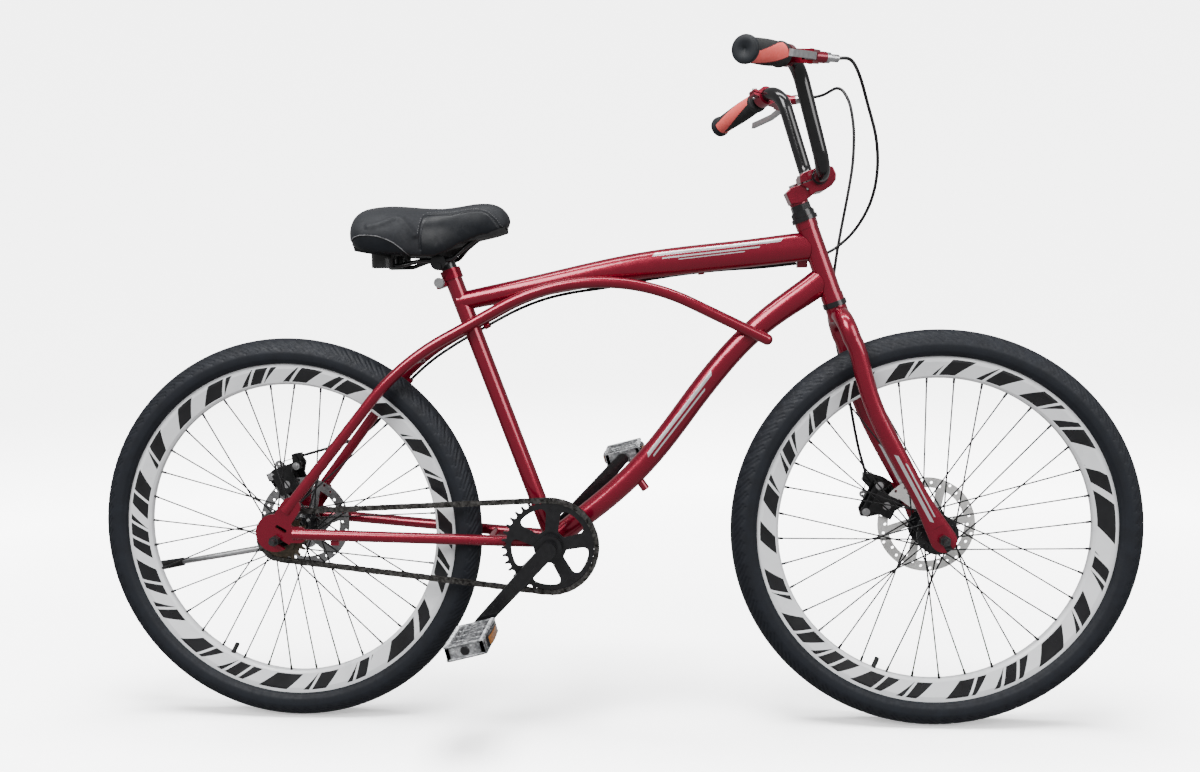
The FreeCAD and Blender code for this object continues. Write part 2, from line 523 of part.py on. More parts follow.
def tyre(c):
    def p(r, y):
        return V(c.x + r, y, c.z)
    ro, ri, cr_ = TYRE_SECTION_R, TYRE_SECTION_R - 3.0, TYRE_R - TYRE_SECTION_R
    r4, r6 = RIM_EDGE_R + 0.6, RIM_EDGE_R + 3.6
    y4, y6 = math.sqrt(ro ** 2 - (cr_ - r4) ** 2), math.sqrt(ri ** 2 - (cr_ - r6) ** 2)
    pts = [p(280, 8.5), p(280, 11.8), p(r4, 11.8), p(r4, y4)]
    ed = [Part.LineSegment(pts[i], pts[i + 1]).toShape() for i in range(3)]
    ed.append(arc_edge(p(r4, y4), p(TYRE_R, 0), p(r4, -y4)))
    low = [p(r4, -y4), p(r4, -11.8), p(280, -11.8), p(280, -8.5), p(r6, -8.5), p(r6, -y6)]
    ed += [Part.LineSegment(low[i], low[i + 1]).toShape() for i in range(5)]
    ed.append(arc_edge(p(r6, -y6), p(cr_ + ri, 0), p(r6, y6)))
    ed += [Part.LineSegment(p(r6, y6), p(r6, 8.5)).toShape(), Part.LineSegment(p(r6, 8.5), p(280, 8.5)).toShape()]
    return Part.Face(Part.Wire(ed)).revolve(V(c.x, 0, c.z), Y, 360)


def at(c, r, deg, y=0.0):
    return V(c.x + r * math.cos(math.radians(deg)), y, c.z + r * math.sin(math.radians(deg)))


def lacing(c, flange_y, valve_deg, fr=26.0):
    """(flange hole, elbow side, rim point, side) for each spoke."""
    res = []
    for k in range(SPOKES):
        th = valve_deg + 5 + k * 10
        side = 0 if k % 2 == 0 else 1
        yf = flange_y[side]
        lead = 1 if (k // 2) % 2 == 0 else -1
        ph = th + lead * CROSS_DEG
        off = lead * 2.85
        start = at(c, fr, ph, yf + off)
        end = at(c, RIM_INNER_R + 3.0, th, 1.5 if yf > 0 else -1.5)
        res.append((start, off, end, yf))
    return res


def spokes(c, flange_y, valve_deg):
    sol, holes, fholes = [], [], []
    for start, off, end, yf in lacing(c, flange_y, valve_deg):
        d = unit(end - start)
        stop = end - d * 11.0
        s = cyl(start, d, 1.0, (stop - start).Length)
        sg = 1 if off > 0 else -1
        elbow = cyl(V(start.x, yf - sg * 2.6, start.z), V(0, sg, 0), 1.0, 2.6 + abs(off))
        head = cyl(V(start.x, yf - sg * 2.6, start.z), V(0, sg, 0), 1.8, 0.8)
        s = s.fuse(elbow).fuse(head).fuse(Part.makeSphere(1.0, start)).removeSplitter()
        sol.append(s.Solids[0])
        sol.append(cyl(stop, d, 2.0, 17.0))
        holes.append(cyl(end - d * 9, d, 2.3, 26))
        fholes.append(cyl(V(start.x, yf - 4, start.z), Y, 1.25, 8))
        fholes.append(cyl(start, d, 1.08, 30).fuse(Part.makeSphere(1.08, start)))
    return sol, holes, fholes


def rim(c, holes, valve_deg):
    prof = [(286, 14.5), (286, 12), (279.4, 12), (279.4, 8), (276, 6), (276, -6), (279.4, -8), (279.4, -12), (286, -12),
            (286, -14.5), (277, -15), (254, -7.8), (250.8, -5.2), (250, -3), (250, 3), (250.8, 5.2), (254, 7.8), (277, 15)]
    hollow = [(274, 11.8), (274, -11.8), (255.5, -5.8), (253, -3), (253, 3), (255.5, 5.8)]
    s = revolve(prof, c).cut(revolve(hollow, c))
    d = unit(at(c, 1, valve_deg) - V(c.x, 0, c.z))
    s = s.cut(Part.makeCompound(holes)).cut(cyl(at(c, 240, valve_deg), d, 4.4, 45))
    return s


def inner_tube(c, valve_deg):
    d = unit(at(c, 1, valve_deg) - V(c.x, 0, c.z))
    big = Part.makeTorus(307, 16.8, V(c.x, 0, c.z), Y)
    small = Part.makeTorus(307, 15.4, V(c.x, 0, c.z), Y)
    stem = cyl(at(c, 233, valve_deg), d, 3.9, 60)
    return big.fuse(stem).cut(small).cut(cyl(at(c, 232, valve_deg), d, 1.2, 62)).removeSplitter()


def rotor(c, y0):
    s = yring(c.x, c.z, y0, y0 + ROTOR_T, ROTOR_R, 17.5)
    win = []
    for i in range(6):
        pts = []
        for k in range(6):
            a = math.radians(60 * i + 6 + 46 * k / 5.0 + 10)
            pts.append((c.x + 63 * math.cos(a), c.z + 63 * math.sin(a)))
        for k in range(4):
            a = math.radians(60 * i + 40 - 32 * k / 3.0)
            pts.append((c.x + 29 * math.cos(a), c.z + 29 * math.sin(a)))
        win.append(slab(pts, y0 - 1, y0 + ROTOR_T + 1))
    for i in range(30):
        a = math.radians(12 * i)
        r = (67.5, 71.5, 75.5)[i % 3]
        win.append(ycyl(c.x + r * math.cos(a), c.z + r * math.sin(a), y0 - 1, y0 + ROTOR_T + 1, 2.4))
    for i in range(6):
        a = math.radians(60 * i + 3)
        win.append(ycyl(c.x + 22 * math.cos(a), c.z + 22 * math.sin(a), y0 - 1, y0 + ROTOR_T + 1, 2.6))
    return s.cut(Part.makeCompound(win))


def rotor_bolts(c, y0):
    res = []
    for i in range(6):
        a = math.radians(60 * i + 3)
        x, z = c.x + 22 * math.cos(a), c.z + 22 * math.sin(a)
        res.append(ycyl(x, z, y0 - 6, y0 + ROTOR_T, 2.5).fuse(ycyl(x, z, y0 + ROTOR_T, y0 + ROTOR_T + 2.4, 4.4)).removeSplitter())
    return res


def bolt_holes(c, y0):
    return Part.makeCompound([ycyl(c.x + 22 * math.cos(math.radians(60 * i + 3)), c.z + 22 * math.sin(math.radians(60 * i + 3)),
                                   y0 - 7, y0 + 1, 2.55) for i in range(6)])


REAR_VALVE, FRONT_VALVE = 241.5, 248.3
r_fl, f_fl = (-24.0, 32.0), (-27.0, 27.0)
r_sp, r_holes, r_fh = spokes(RA, r_fl, REAR_VALVE)
f_sp, f_holes, f_fh = spokes(FA, f_fl, FRONT_VALVE)
rear_hub = revolve([(11.05, -54), (17, -54), (17, -30), (20, -25.8), (30, -25.8), (30, -22.2), (19, -22.2), (15, -18), (15, 26), (19, 30.2),
                    (30, 30.2), (30, 33.8), (20, 33.8), (20, 38), (28, 40), (28, 49.95), (17.4, 49.95), (17.4, 53.6), (11.05, 53.6),
                    (11.05, 45), (8, 45), (8, -45), (11.05, -45)], RA)
rear_hub = rear_hub.cut(Part.makeCompound(r_fh)).cut(bolt_holes(RA, REAR_ROTOR_Y))
front_hub = revolve([(11.05, -42), (15.5, -42), (17, -34), (20, -28.8), (33, -28.8), (33, -25.2), (18, -25.2), (14, -21), (14, 21), (18, 25.2), (33, 25.2),
                     (33, 28.8), (20, 28.8), (20, 31.7), (28, 31.7), (28, 37.95), (17.4, 37.95), (17.4, 41.6), (11.05, 41.6), (11.05, 33), (8, 33), (8, -33),
                     (11.05, -33)], FA)
front_hub = front_hub.cut(Part.makeCompound(f_fh)).cut(bolt_holes(FA, FRONT_ROTOR_Y))

# ------------------------------------------------------------------ fork, headset nuts, stem
def down_axis(s, y=0.0):
    p = HB - STEER * s
    return V(p.x, y, p.z)


crown_pts = [down_axis(62, -46), down_axis(23, -46), down_axis(23, 46), down_axis(62, 46)]
crown_w = route(crown_pts, [34.0, 34.0])
crown = sweep(crown_w, 14.0)
steerer = cyl(HB - STEER * 23, STEER, STEERER_R, 23 + HEAD_LEN + 27.0)
boss = cyl(HB - STEER * 30, STEER, 17.0, 30 - 8.7)
steerer = steerer.fuse(crown).fuse(boss).removeSplitter()
steerer = steerer.cut(cyl(HB - STEER * 10, STEER, STEERER_BORE, 10 + HEAD_LEN + 60)).cut(sweep(crown_w, 11.5).cut(cyl(HB - STEER * 60, STEER, 17.0, 51.3)))
steerer = max(steerer.Solids, key=lambda s: s.Volume)

bl_st = [(down_axis(62, -46), 14.0, 14.0), (V(409.5, -47.2, 602), 14.0, 13.6), (V(426, -49.2, 545), 14.0, 13.0),
         (V(448, -51.2, 495), 14.2, 12.3), (V(475, -53.2, 443), 14.0, 11.0), (V(507, -55.2, 383), 14.2, 8.6),
         (V(536.5, -56.3, 328), 20.5, 6.3), (V(547.5, -56.5, 307), 20.5, 6.0)]
ws = []
for i, (c, a, b) in enumerate(bl_st):
    d = STEER * -1 if i == 0 else bl_st[min(i + 1, 7)][0] - bl_st[i - 1][0]
    ws.append(section(c, V(d.x, d.y, d.z), X, a, b))
blade = Part.makeLoft(ws, True, False)
core = []
for i, (c, a, b) in enumerate(bl_st[:6]):
    d = STEER * -1 if i == 0 else bl_st[i + 1][0] - bl_st[i - 1][0]
    core.append(section(c, d, X, a - 2.0, b - 2.0))
blade = blade.cut(Part.makeLoft(core, True, False))
bdir = unit(V(0.476, 0, -0.879))
low = Part.makeBox(200, 60, 200, V(-100, -90, -200))
low.rotate(V(0, 0, 0), Y, -math.degrees(math.atan2(bdir.x, -bdir.z)))
low.translate(V(FA.x, 0, FA.z))
blade = blade.cut(low.cut(ycyl(FA.x, FA.z, -100, 0, 20.5)))
n5 = V(-bdir.z, 0, bdir.x) * 5.2
q0, q1 = V(FA.x, 0, FA.z), V(FA.x, 0, FA.z) + bdir * 60
blade = blade.cut(slab([(p.x, p.z) for p in (q0 + n5, q1 + n5, q1 - n5, q0 - n5)], -90, -30)).cut(ycyl(FA.x, FA.z, -90, -30, 5.2))
# flat seats for the axle nuts and hub faces at the fork ends
blade = blade.cut(ycyl(FA.x, FA.z, -FORK_Y, -40, 24)).cut(ycyl(FA.x, FA.z, -80, -FORK_Y - 11.5, 24))
blade_r = max(blade.Solids, key=lambda s: s.Volume)
blade_l = flip(blade_r)

race = ring(HT + STEER * 7.4, STEER, 18.5, STEERER_R + 0.02, 7.6)
washer = ring(HT + STEER * 15.0, STEER, 17.0, STEERER_R + 0.02, 2.0)
locknut = hexnut(HT + STEER * 17.0, STEER, 29, 10, STEERER_R + 0.02)
front_axle = ycyl(FA.x, FA.z, -70.5, 70.5, AXLE_R).fuse(ycyl(FA.x, FA.z, -79, -70.5, 4.8)).fuse(ycyl(FA.x, FA.z, 70.5, 79, 4.8)).removeSplitter()
f_rings = [yring(FA.x, FA.z, s * 33.4, s * 41.2, 11.0, AXLE_R + 0.02) for s in (-1, 1)]
f_inner = [yring(FA.x, FA.z, s * 41.2, s * 42.6, 8.0, AXLE_R + 0.02) for s in (-1, 1)]
f_space = [yring(FA.x, FA.z, s * 42.6, s * FORK_Y, 9.0, AXLE_R + 0.02) for s in (-1, 1)]
f_nuts = [hexnut(V(FA.x, s * (FORK_Y + 11.5), FA.z), V(0, s, 0), 15, 9, AXLE_R + 0.02) for s in (-1, 1)]

# handlebar
BC = V(346, 0, 897)
corner_u, end_r = V(299, -98, 1062), V(211, -BAR_HALF, 1031)
bar_pts = [end_r, corner_u, V(BC.x, -76, BC.z), V(BC.x, 76, BC.z), V(corner_u.x, 98, corner_u.z), V(end_r.x, BAR_HALF, end_r.z)]
bar_w = route(bar_pts, [42.0, 36.0, 36.0, 42.0])
bar_solid = sweep(bar_w, BAR_R)
handlebar = bar_solid.cut(sweep(bar_w, BAR_R - 2.0)).fuse(ring(V(BC.x, -34, BC.z), Y, 12.7, 9.1, 68)).removeSplitter()

# stem: quill in the steerer, head block, extension, and a clamp round the bar that is split at the back
stem_top = HT + STEER * 55.5
quill = cyl(HT - STEER * 40, STEER, STEERER_BORE - 0.03, 94)
collar = cyl(HT + STEER * 27.5, STEER, 15.0, 20)
head_pts = [(303.8, 856.5), (321.0, 858.4), (333.5, 867.0), (341.5, 874.0), (352, 876.5), (352, 890), (317, 886.3), (303.4, 882.4), (295.4, 874.8)]
clamp_pts = [(333.0, 868.0), (341.5, 874.0), (355.0, 876.5), (365.5, 883.2), (372.0, 892.0), (372.4, 901.0), (367.4, 912.2), (354.0, 916.0), (341.0, 911.4),
             (319.5, 903.2), (316.2, 899.8), (317.4, 886.2), (330, 880)]


def soft(s, r, half):
    """Rounds the rims of a slab's two side faces."""
    rim_edges = [e for e in s.Edges if all(abs(abs(q.Point.y) - half) < 1e-6 for q in e.Vertexes)]
    return s.makeFillet(r, rim_edges)


head_blk = soft(slab(head_pts, -17, 17), 2.0, 17)
clamp_blk = soft(slab(clamp_pts, -25, 25), 2.0, 25)
stem = quill.fuse(collar).fuse(head_blk).fuse(clamp_blk).cut(ycyl(BC.x, BC.z, -60, 60, 12.75))
slit = V(BC.x - 318.0, 0, BC.z - 1.0 - 886.4)
sn = unit(V(-slit.z, 0, slit.x))
s_a, s_b = V(310.0, 0, 886.4 - 8.0 * slit.z / slit.x), V(BC.x, 0, BC.z - 1.0)
stem = stem.cut(slab([(q.x, q.z) for q in (s_a - sn * 0.2, s_b - sn * 0.2, s_b + sn * 2.0, s_a + sn * 2.0)], -60, 60))
stem = stem.cut(cyl(HT - STEER * 60, STEER, 4.2, 200)).cut(cyl(stem_top, STEER, 7.5, 8.0))
exp_bolt = cyl(HT - STEER * 46, STEER, 4.1, 101.5).fuse(cyl(stem_top, STEER, 7.0, 5.0)).removeSplitter()
stem_bolts = []
bz = V(326.0, 0, 890.5)
for yy in (-17, 17):
    q = V(bz.x, yy, bz.z)
    stem = stem.cut(cyl(q - sn * 14, sn, 2.6, 60)).cut(cyl(q + sn * 10.0, sn, 4.9, 20))
    stem_bolts.append(cyl(q - sn * 13, sn, 2.5, 24).fuse(cyl(q + sn * 10.05, sn, 4.6, 5)).removeSplitter())
stem = max(stem.removeSplitter().Solids, key=lambda s: s.Volume)

# grips and lever perches, made at the right end in a local frame: x' outward along the bar, y' forward, z' up
g = unit(end_r - corner_u)
w = unit(X - g * X.dot(g))
u = w.cross(g)
if u.z < 0:
    u = u * -1
lt = math.radians(LEVER_TILT)
w, u = w * math.cos(lt) - u * math.sin(lt), u * math.cos(lt) + w * math.sin(lt)


def local(s, origin):
    m = FreeCAD.Matrix(g.x, w.x, u.x, origin.x, g.y, w.y, u.y, origin.y, g.z, w.z, u.z, origin.z, 0, 0, 0, 1)
    t = s.copy()
    if g.cross(w).dot(u) < 0:
        return t.transformGeometry(m)
    t.Placement = FreeCAD.Placement(m)
    return t


grip_l = cyl(V(-130, 0, 0), X, 16.5, 130).fuse(cyl(V(-130, 0, 0), X, 18.0, 4)).fuse(cyl(V(0, 0, 0), X, 18.5, 5)).cut(cyl(V(-140, 0, 0), X, BAR_R + 0.02, 140)).removeSplitter()
grip_r = local(grip_l, end_r)

po = end_r - g * 150.0     # bar point that the perch clamps


def box(x0, x1, y0, y1, z0, z1):
    return Part.makeBox(x1 - x0, y1 - y0, z1 - z0, V(x0, y0, z0))


PIV = V(7, 40, 0)
perch = cyl(V(-9, 0, 0), X, 16.0, 18).fuse(box(-9, 9, 8, 34, -9.5, 9.5)).fuse(box(-14, 14, 28, 46, -9.5, 9.5)).fuse(box(-9, 9, -26, -10, -5, 5))
AD, AD0 = unit(V(-26, 20, 0)), V(-4, 36, 0)     # line of the cable adjuster
perch = perch.fuse(cyl(AD0, AD, 8.0, 24))
perch = perch.cut(cyl(V(-20, 0, 0), X, BAR_R + 0.02, 40)).cut(box(-3.0, 30, 29.5, 60, -5.0, 5.0)).cut(cyl(V(PIV.x, PIV.y, -20), Z, 3.0, 40)).cut(box(-20, 20, -40, -8, -0.8, 0.8))
perch = perch.cut(cyl(AD0 + AD * 10, AD, 4.0, 30)).cut(cyl(V(0, -20.6, -20), Z, 2.6, 40)).removeSplitter()
pv_pin = cyl(V(PIV.x, PIV.y, -10.5), Z, 3.0, 21)
perch_bolt = cyl(V(0, -20.6, -8), Z, 2.5, 16).fuse(cyl(V(0, -20.6, 5), Z, 4.2, 4.5)).removeSplitter()
adjuster = cyl(AD0 + AD * 12, AD, 3.98, 12).fuse(cyl(AD0 + AD * 24, AD, 7.5, 7)).fuse(cyl(AD0 + AD * 31, AD, 5.4, 15)).cut(cyl(AD0, AD, 1.2, 80)).removeSplitter()
adjuster = adjuster.cut(cyl(AD0 + AD * 40, AD, CABLE_R + 0.05, 10)).removeSplitter()
blade_out = [(0, 35), (2, 46), (12, 50), (30, 55.5), (62, 58.5), (96, 54), (113, 51.5), (116, 47), (111, 44.5), (94, 47.5), (62, 52), (34, 48.5), (20, 42.5), (12, 33), (4, 32)]
lever = poly([V(a, b, -4.6) for a, b in blade_out]).extrude(V(0, 0, 9.2)).cut(cyl(V(PIV.x, PIV.y, -10), Z, 3.0 + RUN, 20))
perch_r, pin_r, pbolt_r, adj_r, lever_r = [local(q, po) for q in (perch, pv_pin, perch_bolt, adjuster, lever)]
lever_pivot = po + g * PIV.x + w * PIV.y
print("lever pivot", lever_pivot, "axis", u, "right-handed", g.cross(w).dot(u))

# ------------------------------------------------------------------ disc calipers
def caliper(c, ang, yr, y_arm, plate_y):
    """Caliper over the rotor edge; er points outward from the axle, et along the rotor edge."""
    er = V(math.cos(math.radians(ang)), 0, math.sin(math.radians(ang)))
    et = V(-er.z, 0, er.x)
    o = V(c.x, 0, c.z)

    def blk(r0, r1, t0, t1, y0, y1):
        pts = [o + er * r0 + et * t0, o + er * r1 + et * t0, o + er * r1 + et * t1, o + er * r0 + et * t1]
        return slab([(p.x, p.z) for p in pts], y0, y1)
    piv = o + er * 74.0
    body = blk(58, 98, -18, 18, yr - 6.5, yr + 16).fuse(ycyl(piv.x, piv.z, yr + 10, y_arm - 0.5, 9.0))
    body = body.fuse(blk(90, 104, -32, 32, yr + 3.4, yr + 11))
    body = body.cut(blk(30, 86, -80, 80, yr - 1.8, yr + ROTOR_T + 1.8))
    bolts = []
    for t in (-25, 25):
        b = o + er * 97 + et * t
        body = body.cut(ycyl(b.x, b.z, yr - 20, yr + 40, 3.05))
        bolts.append(ycyl(b.x, b.z, yr + 2, plate_y + PLATE, 3.0).fuse(ycyl(b.x, b.z, plate_y + PLATE, plate_y + PLATE + 4, 5.0)).removeSplitter())
        bolts.append(yring(b.x, b.z, yr + 11, plate_y, 6.0, 3.05))
    body = body.removeSplitter()
    pads = [blk(62, 79, -11, 11, yr - 1.75, yr - 0.45), blk(62, 79, -11, 11, yr + ROTOR_T + 0.45, yr + ROTOR_T + 1.75)]
    post = ycyl(piv.x, piv.z, y_arm - 0.5, y_arm + 5.3, 4.0).fuse(hexnut(V(piv.x, y_arm + 5.3, piv.z), Y, 11, 4)).removeSplitter()
    return body, pads, post, bolts, piv


def caliper_arm(piv, dx, dz, y_arm):
    a = taper2(piv.x, piv.z, 11.5, piv.x + dx, piv.z + dz, 6.0, y_arm, y_arm + 4.8)
    return a.cut(ycyl(piv.x, piv.z, 0, 120, 4.0 + RUN)).cut(ycyl(piv.x + dx, piv.z + dz, 0, 120, 2.2)).removeSplitter()


F_ARM_Y, R_ARM_Y = 60.2, 73.2
F_PLATE_Y = 54.5
fc_body, fc_pads, fc_post, fc_bolts, fc_piv = caliper(FA, 154.0, FRONT_ROTOR_Y, F_ARM_Y, F_PLATE_Y)
rc_body, rc_pads, rc_post, rc_bolts, rc_piv = caliper(RA, 112.0, REAR_ROTOR_Y, R_ARM_Y, DROP_Y)
fc_arm = caliper_arm(fc_piv, -33, 14, F_ARM_Y)
rc_arm = caliper_arm(rc_piv, -26, 31, R_ARM_Y)
F_WIRE_Y, R_WIRE_Y = F_ARM_Y + 6.1, R_ARM_Y + 6.1
f_end, r_end = V(444.5, F_WIRE_Y, 402.5), V(-560, R_WIRE_Y, 438.5)
f_in, r_in = V(432, 69, 444), V(-520, R_WIRE_Y, 449.5)

# caliper plate on the left fork blade, with the cable stop
f_plate = slab([(512, 360), (497, 388), (470, 405), (452, 411), (437, 411), (433, 401), (446, 386), (428, 352), (432, 338), (446, 337), (488, 346)],
               F_PLATE_Y, F_PLATE_Y + PLATE)
f_plate = f_plate.fuse(slab([(437, 399), (452, 399), (452, 411), (437, 411)], F_PLATE_Y, F_WIRE_Y + 4.2))
f_plate = f_plate.cut(ycyl(fc_piv.x, fc_piv.z, 40, 80, 11.0)).cut(cyl(f_in, unit(f_end - f_in), CABLE_R + 0.05, 70))
for t in (-25, 25):
    a = math.radians(154.0)
    f_plate = f_plate.cut(ycyl(FA.x + 97 * math.cos(a) - t * math.sin(a), FA.z + 97 * math.sin(a) + t * math.cos(a), 40, 80, 3.05))
blade_l = blade_l.fuse(f_plate).removeSplitter()
blade_l = max(blade_l.Solids, key=lambda s: s.Volume)
fc_body = max(fc_body.cut(blade_l).Solids, key=lambda s: s.Volume)
rc_body = max(rc_body.cut(drop_l).cut(flip(arch_solid)).Solids, key=lambda s: s.Volume)
print("front caliper pivot", fc_piv, "rear", rc_piv)

# ------------------------------------------------------------------ brake cables
def fl(p):
    return V(p.x, -p.y, p.z)


ad_m = AD0 + AD * 44
ca0 = po + g * ad_m.x + w * ad_m.y            # mouth of the right adjuster
ca_d = unit(g * AD.x + w * AD.y)
loop_pts = [ca0, ca0 + ca_d * 24, V(395, -74, 1038), V(413, -50, 1002), V(430, -38, 950), V(435, -24, 900), V(428, -8, 855),
            V(408, 8, 815), V(380, 20, 788), V(353, 24, 775), V(335.6, 21.5, 769.7)]
cable_loop = cord(loop_pts)
f_cable_pts = [fl(ca0), fl(ca0 + ca_d * 24), V(396, 84, 1058), V(410, 70, 1030), V(417, 66, 985), V(416, 66, 930), V(408, 65, 880), V(398, 62, 830),
               V(389, 60, 780), V(383, 61, 730), V(383, 66, 680), V(392, 70, 630), V(404, 72, 580), V(416, 72, 530), V(424, 71.5, 484), f_in, f_end]
f_cable = cord(f_cable_pts)
f_wire = cyl(f_end + unit(V(-7.5, 0, -32)) * 1.2, unit(V(-7.5, 0, -32)), 0.8, 35)

arch_line = arch_w.discretize(Number=800)


def stay_at(x):
    """Centre, tangent and lower normal of the left arch stay at x."""
    k = min(range(1, len(arch_line) - 1), key=lambda i: abs(arch_line[i].x - x))
    c, t = fl(arch_line[k]), unit(fl(arch_line[k + 1]) - fl(arch_line[k - 1]))
    n = unit(Z * -1 - t * (Z * -1).dot(t))
    return c, t, n


OFF = STAY_R + CABLE_R + 0.7
r_pts = [V(316.8, 19.5, 765.0), V(262, 16, 759.5), V(196, 12, 757.0), V(130, 12, 751.0), V(60, 13, 741.0), V(4, 11, 730.5)]
for x in (-48, -100, -150, -200, -250, -300, -345, -385):
    c, t, n = stay_at(x)
    r_pts.append(c + n * OFF)
c, t, n = stay_at(-412)
r_pts.append(c + unit(n + Y * 1.0) * (OFF + 2.2))
c, t, n = stay_at(-440)
r_pts.append(c + unit(Y - n * 0.15) * (OFF + 2.6))
r_pts += [V(-480, 77.2, 460.5), r_in, r_end]
r_cable = cord(r_pts)
r_wire = cyl(r_end + unit(V(-36, 0, -11.5)) * 1.0, unit(V(-36, 0, -11.5)), 0.8, 37)


def clip(p, t, c, reach, *others):
    s = cyl(p - t * 5, t, 4.6, 10).fuse(cyl(p, unit(c - p), 3.2, reach)).cut(cyl(p - t * 30, t, CABLE_R + 0.05, 60))
    return trimmed(s, r_cable, *others)


clips = []
for x in (-200, -345):
    c, t, n = stay_at(x)
    i = {-200: 9, -345: 12}[x]
    tt = unit(r_pts[i + 1] - r_pts[i - 1])
    # the cable cuts the corner inside its vertex: drop the clip onto the curve
    a, b = r_pts[i - 1] - r_pts[i], r_pts[i + 1] - r_pts[i]
    turn = math.pi - a.getAngle(b)
    rad = 0.45 * min(a.Length, b.Length) / math.tan(turn / 2)
    p = r_pts[i] + unit(unit(a) + unit(b)) * (rad / math.cos(turn / 2) - rad)
    clips.append(clip(p, tt, c, 12, flip(arch_solid)))
p = V(163, 12, 754.0)
clips.append(clip(p, unit(r_pts[3] - r_pts[2]), V(163, 12, 780), 16, top_solid))
guide_front = trimmed(slab([(318, 779), (334, 779), (334, 758), (318, 758)], 11, 25), top_solid, head_env, down_solid)

# ------------------------------------------------------------------ seatpost and saddle
post_top = ST + SEAT * 8
post = ring(ST - SEAT * 232, SEAT, POST_R, POST_R - 2.0, 240)
sc_x, sc_z = -262.0, 769.5
cl_core = ycyl(sc_x, sc_z + 6.5, -29, 29, 12.5)
post_head = cyl(post_top - SEAT * 4, SEAT, POST_R, 14).cut(cl_core)
post = post.fuse(post_head).removeSplitter()
post = max(post.cut(cl_core).Solids, key=lambda s: s.Volume)

SAD = [(-395.0, 60, 839.5, 808), (-385.1, 84, 851, 799), (-362.4, 98, 863, 794.5), (-333.0, 100, 870, 794), (-299.9, 89, 870.5, 796),
       (-266.7, 63, 867, 800), (-233.6, 43, 868, 808), (-200.4, 33.5, 872, 816.5), (-172.0, 28, 873, 822), (-153.1, 20.5, 865.5, 827), (-145.0, 10, 854.5, 834)]


def saddle_wire(x, w_, t_, b_, grow=0.0):
    pts = []
    mid, up, dn = b_ + (t_ - b_) * 0.38, (t_ - b_) * 0.62, (t_ - b_) * 0.38
    n = 28
    for i in range(n):
        a = 2 * math.pi * i / n
        ca, sa = math.cos(a), math.sin(a)
        yy = w_ * math.copysign(abs(ca) ** 0.72, ca)
        zz = mid + (up * abs(sa) ** 1.15 if sa > 0 else -dn * abs(sa) ** 0.6)
        pts.append(V(x, yy, zz))
    bs = Part.BSplineCurve()
    bs.interpolate(pts, PeriodicFlag=True)
    return Part.Wire(bs.toShape())


cushion = Part.makeLoft([saddle_wire(*s) for s in SAD], True, False)
base_w = []
for x, w_, t_, b_ in SAD[1:-1]:
    k = w_ * 0.9
    base_w.append(Part.makePolygon([V(x, -k, b_ + 6), V(x, k, b_ + 6), V(x, k * 0.92, b_ - 4.5), V(x, -k * 0.92, b_ - 4.5), V(x, -k, b_ + 6)]))
base = Part.makeLoft(base_w, True, True).cut(cushion)
base = max(base.Solids, key=lambda s: s.Volume)
rails = []
for s in (-1, 1):
    rp = [V(-188, s * 9, 824), V(-221, s * 13, 799.5), V(-241, s * 22, 780), V(-290, s * 22, 780), V(-322, s * 42, 771), V(-362, s * 46, 771)]
    rw = route(rp, [14, 20, 25, 22])
    rails.append(sweep(rw, 3.5))
rail_cut = [r.copy() for r in rails]
plates = [cyl(V(-346, s * 45, 768.5), Z, 19, 6.2) for s in (-1, 1)]
clamp_blk = cl_core
for r in rail_cut:
    clamp_blk = clamp_blk.cut(r)
clamp_blk = clamp_blk.cut(ycyl(sc_x, sc_z, -40, 40, 3.05))
clamp_bolt = ycyl(sc_x, sc_z, -34, 34, 3.0).fuse(hexnut(V(sc_x, -29, sc_z), -Y, 11, 5)).fuse(hexnut(V(sc_x, 29, sc_z), Y, 11, 5)).removeSplitter()
rails = [trimmed(r, base, cushion) for r in rails]
plates = [p.cut(r) for p, r in zip(plates, rails)]
elast = []
for s in (-1, 1):
    e = cyl(V(-346, s * 45, 774.8), Z, 19, 31).cut(base).cut(cushion)
    elast.append(min(e.Solids, key=lambda q: q.CenterOfMass.z))

# ------------------------------------------------------------------ sub-parts
steer_fast = stem_bolts + [exp_bolt, pbolt_r, flip(pbolt_r), adj_r, flip(adj_r)]
out("head_tube", head_tube)
out("top_tube", top_tube)
out("down_tube", down_tube)
out("seat_tube", seat_tube)
out("bottom_bracket_shell", bb_shell)
out("arch_stays", arch_r, arch_l)
out("chain_stays", cs_r, cs_l)
out("dropouts", drop_r, drop_l)
out("frame_brackets", bridge_top, bridge_low, guide_front, lug_down, tab_cs, *clips)
out("headset_bearings", low_cup, up_cup, low_brg, up_brg)
out("bottom_bracket_bearings", *bb_cups)
out("seat_clamp", seat_clamp, seat_bolt)
out("rear_axle", rear_axle, nut_r, nut_l, *(rear_rings + rear_spacers + rear_inner))
out("rear_caliper", rc_body, rc_post, *(rc_pads + rc_bolts))
out("rear_caliper_arm", rc_arm)
out("rear_brake_cable", r_cable, r_wire)
out("chain", *chain)
out("kickstand_bracket", bracket, pin)
out("kickstand_leg", leg)
out("kickstand_foot", foot)
out("seatpost", post)
out("saddle_rails", clamp_blk, clamp_bolt, *(rails + plates + elast))
out("saddle_base", base)
out("saddle_cushion", cushion)
out("fork_steerer", steerer)
out("fork_blade_right", blade_r)
out("fork_blade_left", blade_l)
out("headset_nuts", race, washer, locknut)
out("stem", stem)
out("steering_fasteners", *steer_fast)
out("handlebar", handlebar)
out("grip_right", grip_r)
out("grip_left", flip(grip_r))
out("lever_perch_right", perch_r, pin_r)
out("lever_perch_left", flip(perch_r), flip(pin_r))
out("brake_lever_right", lever_r)
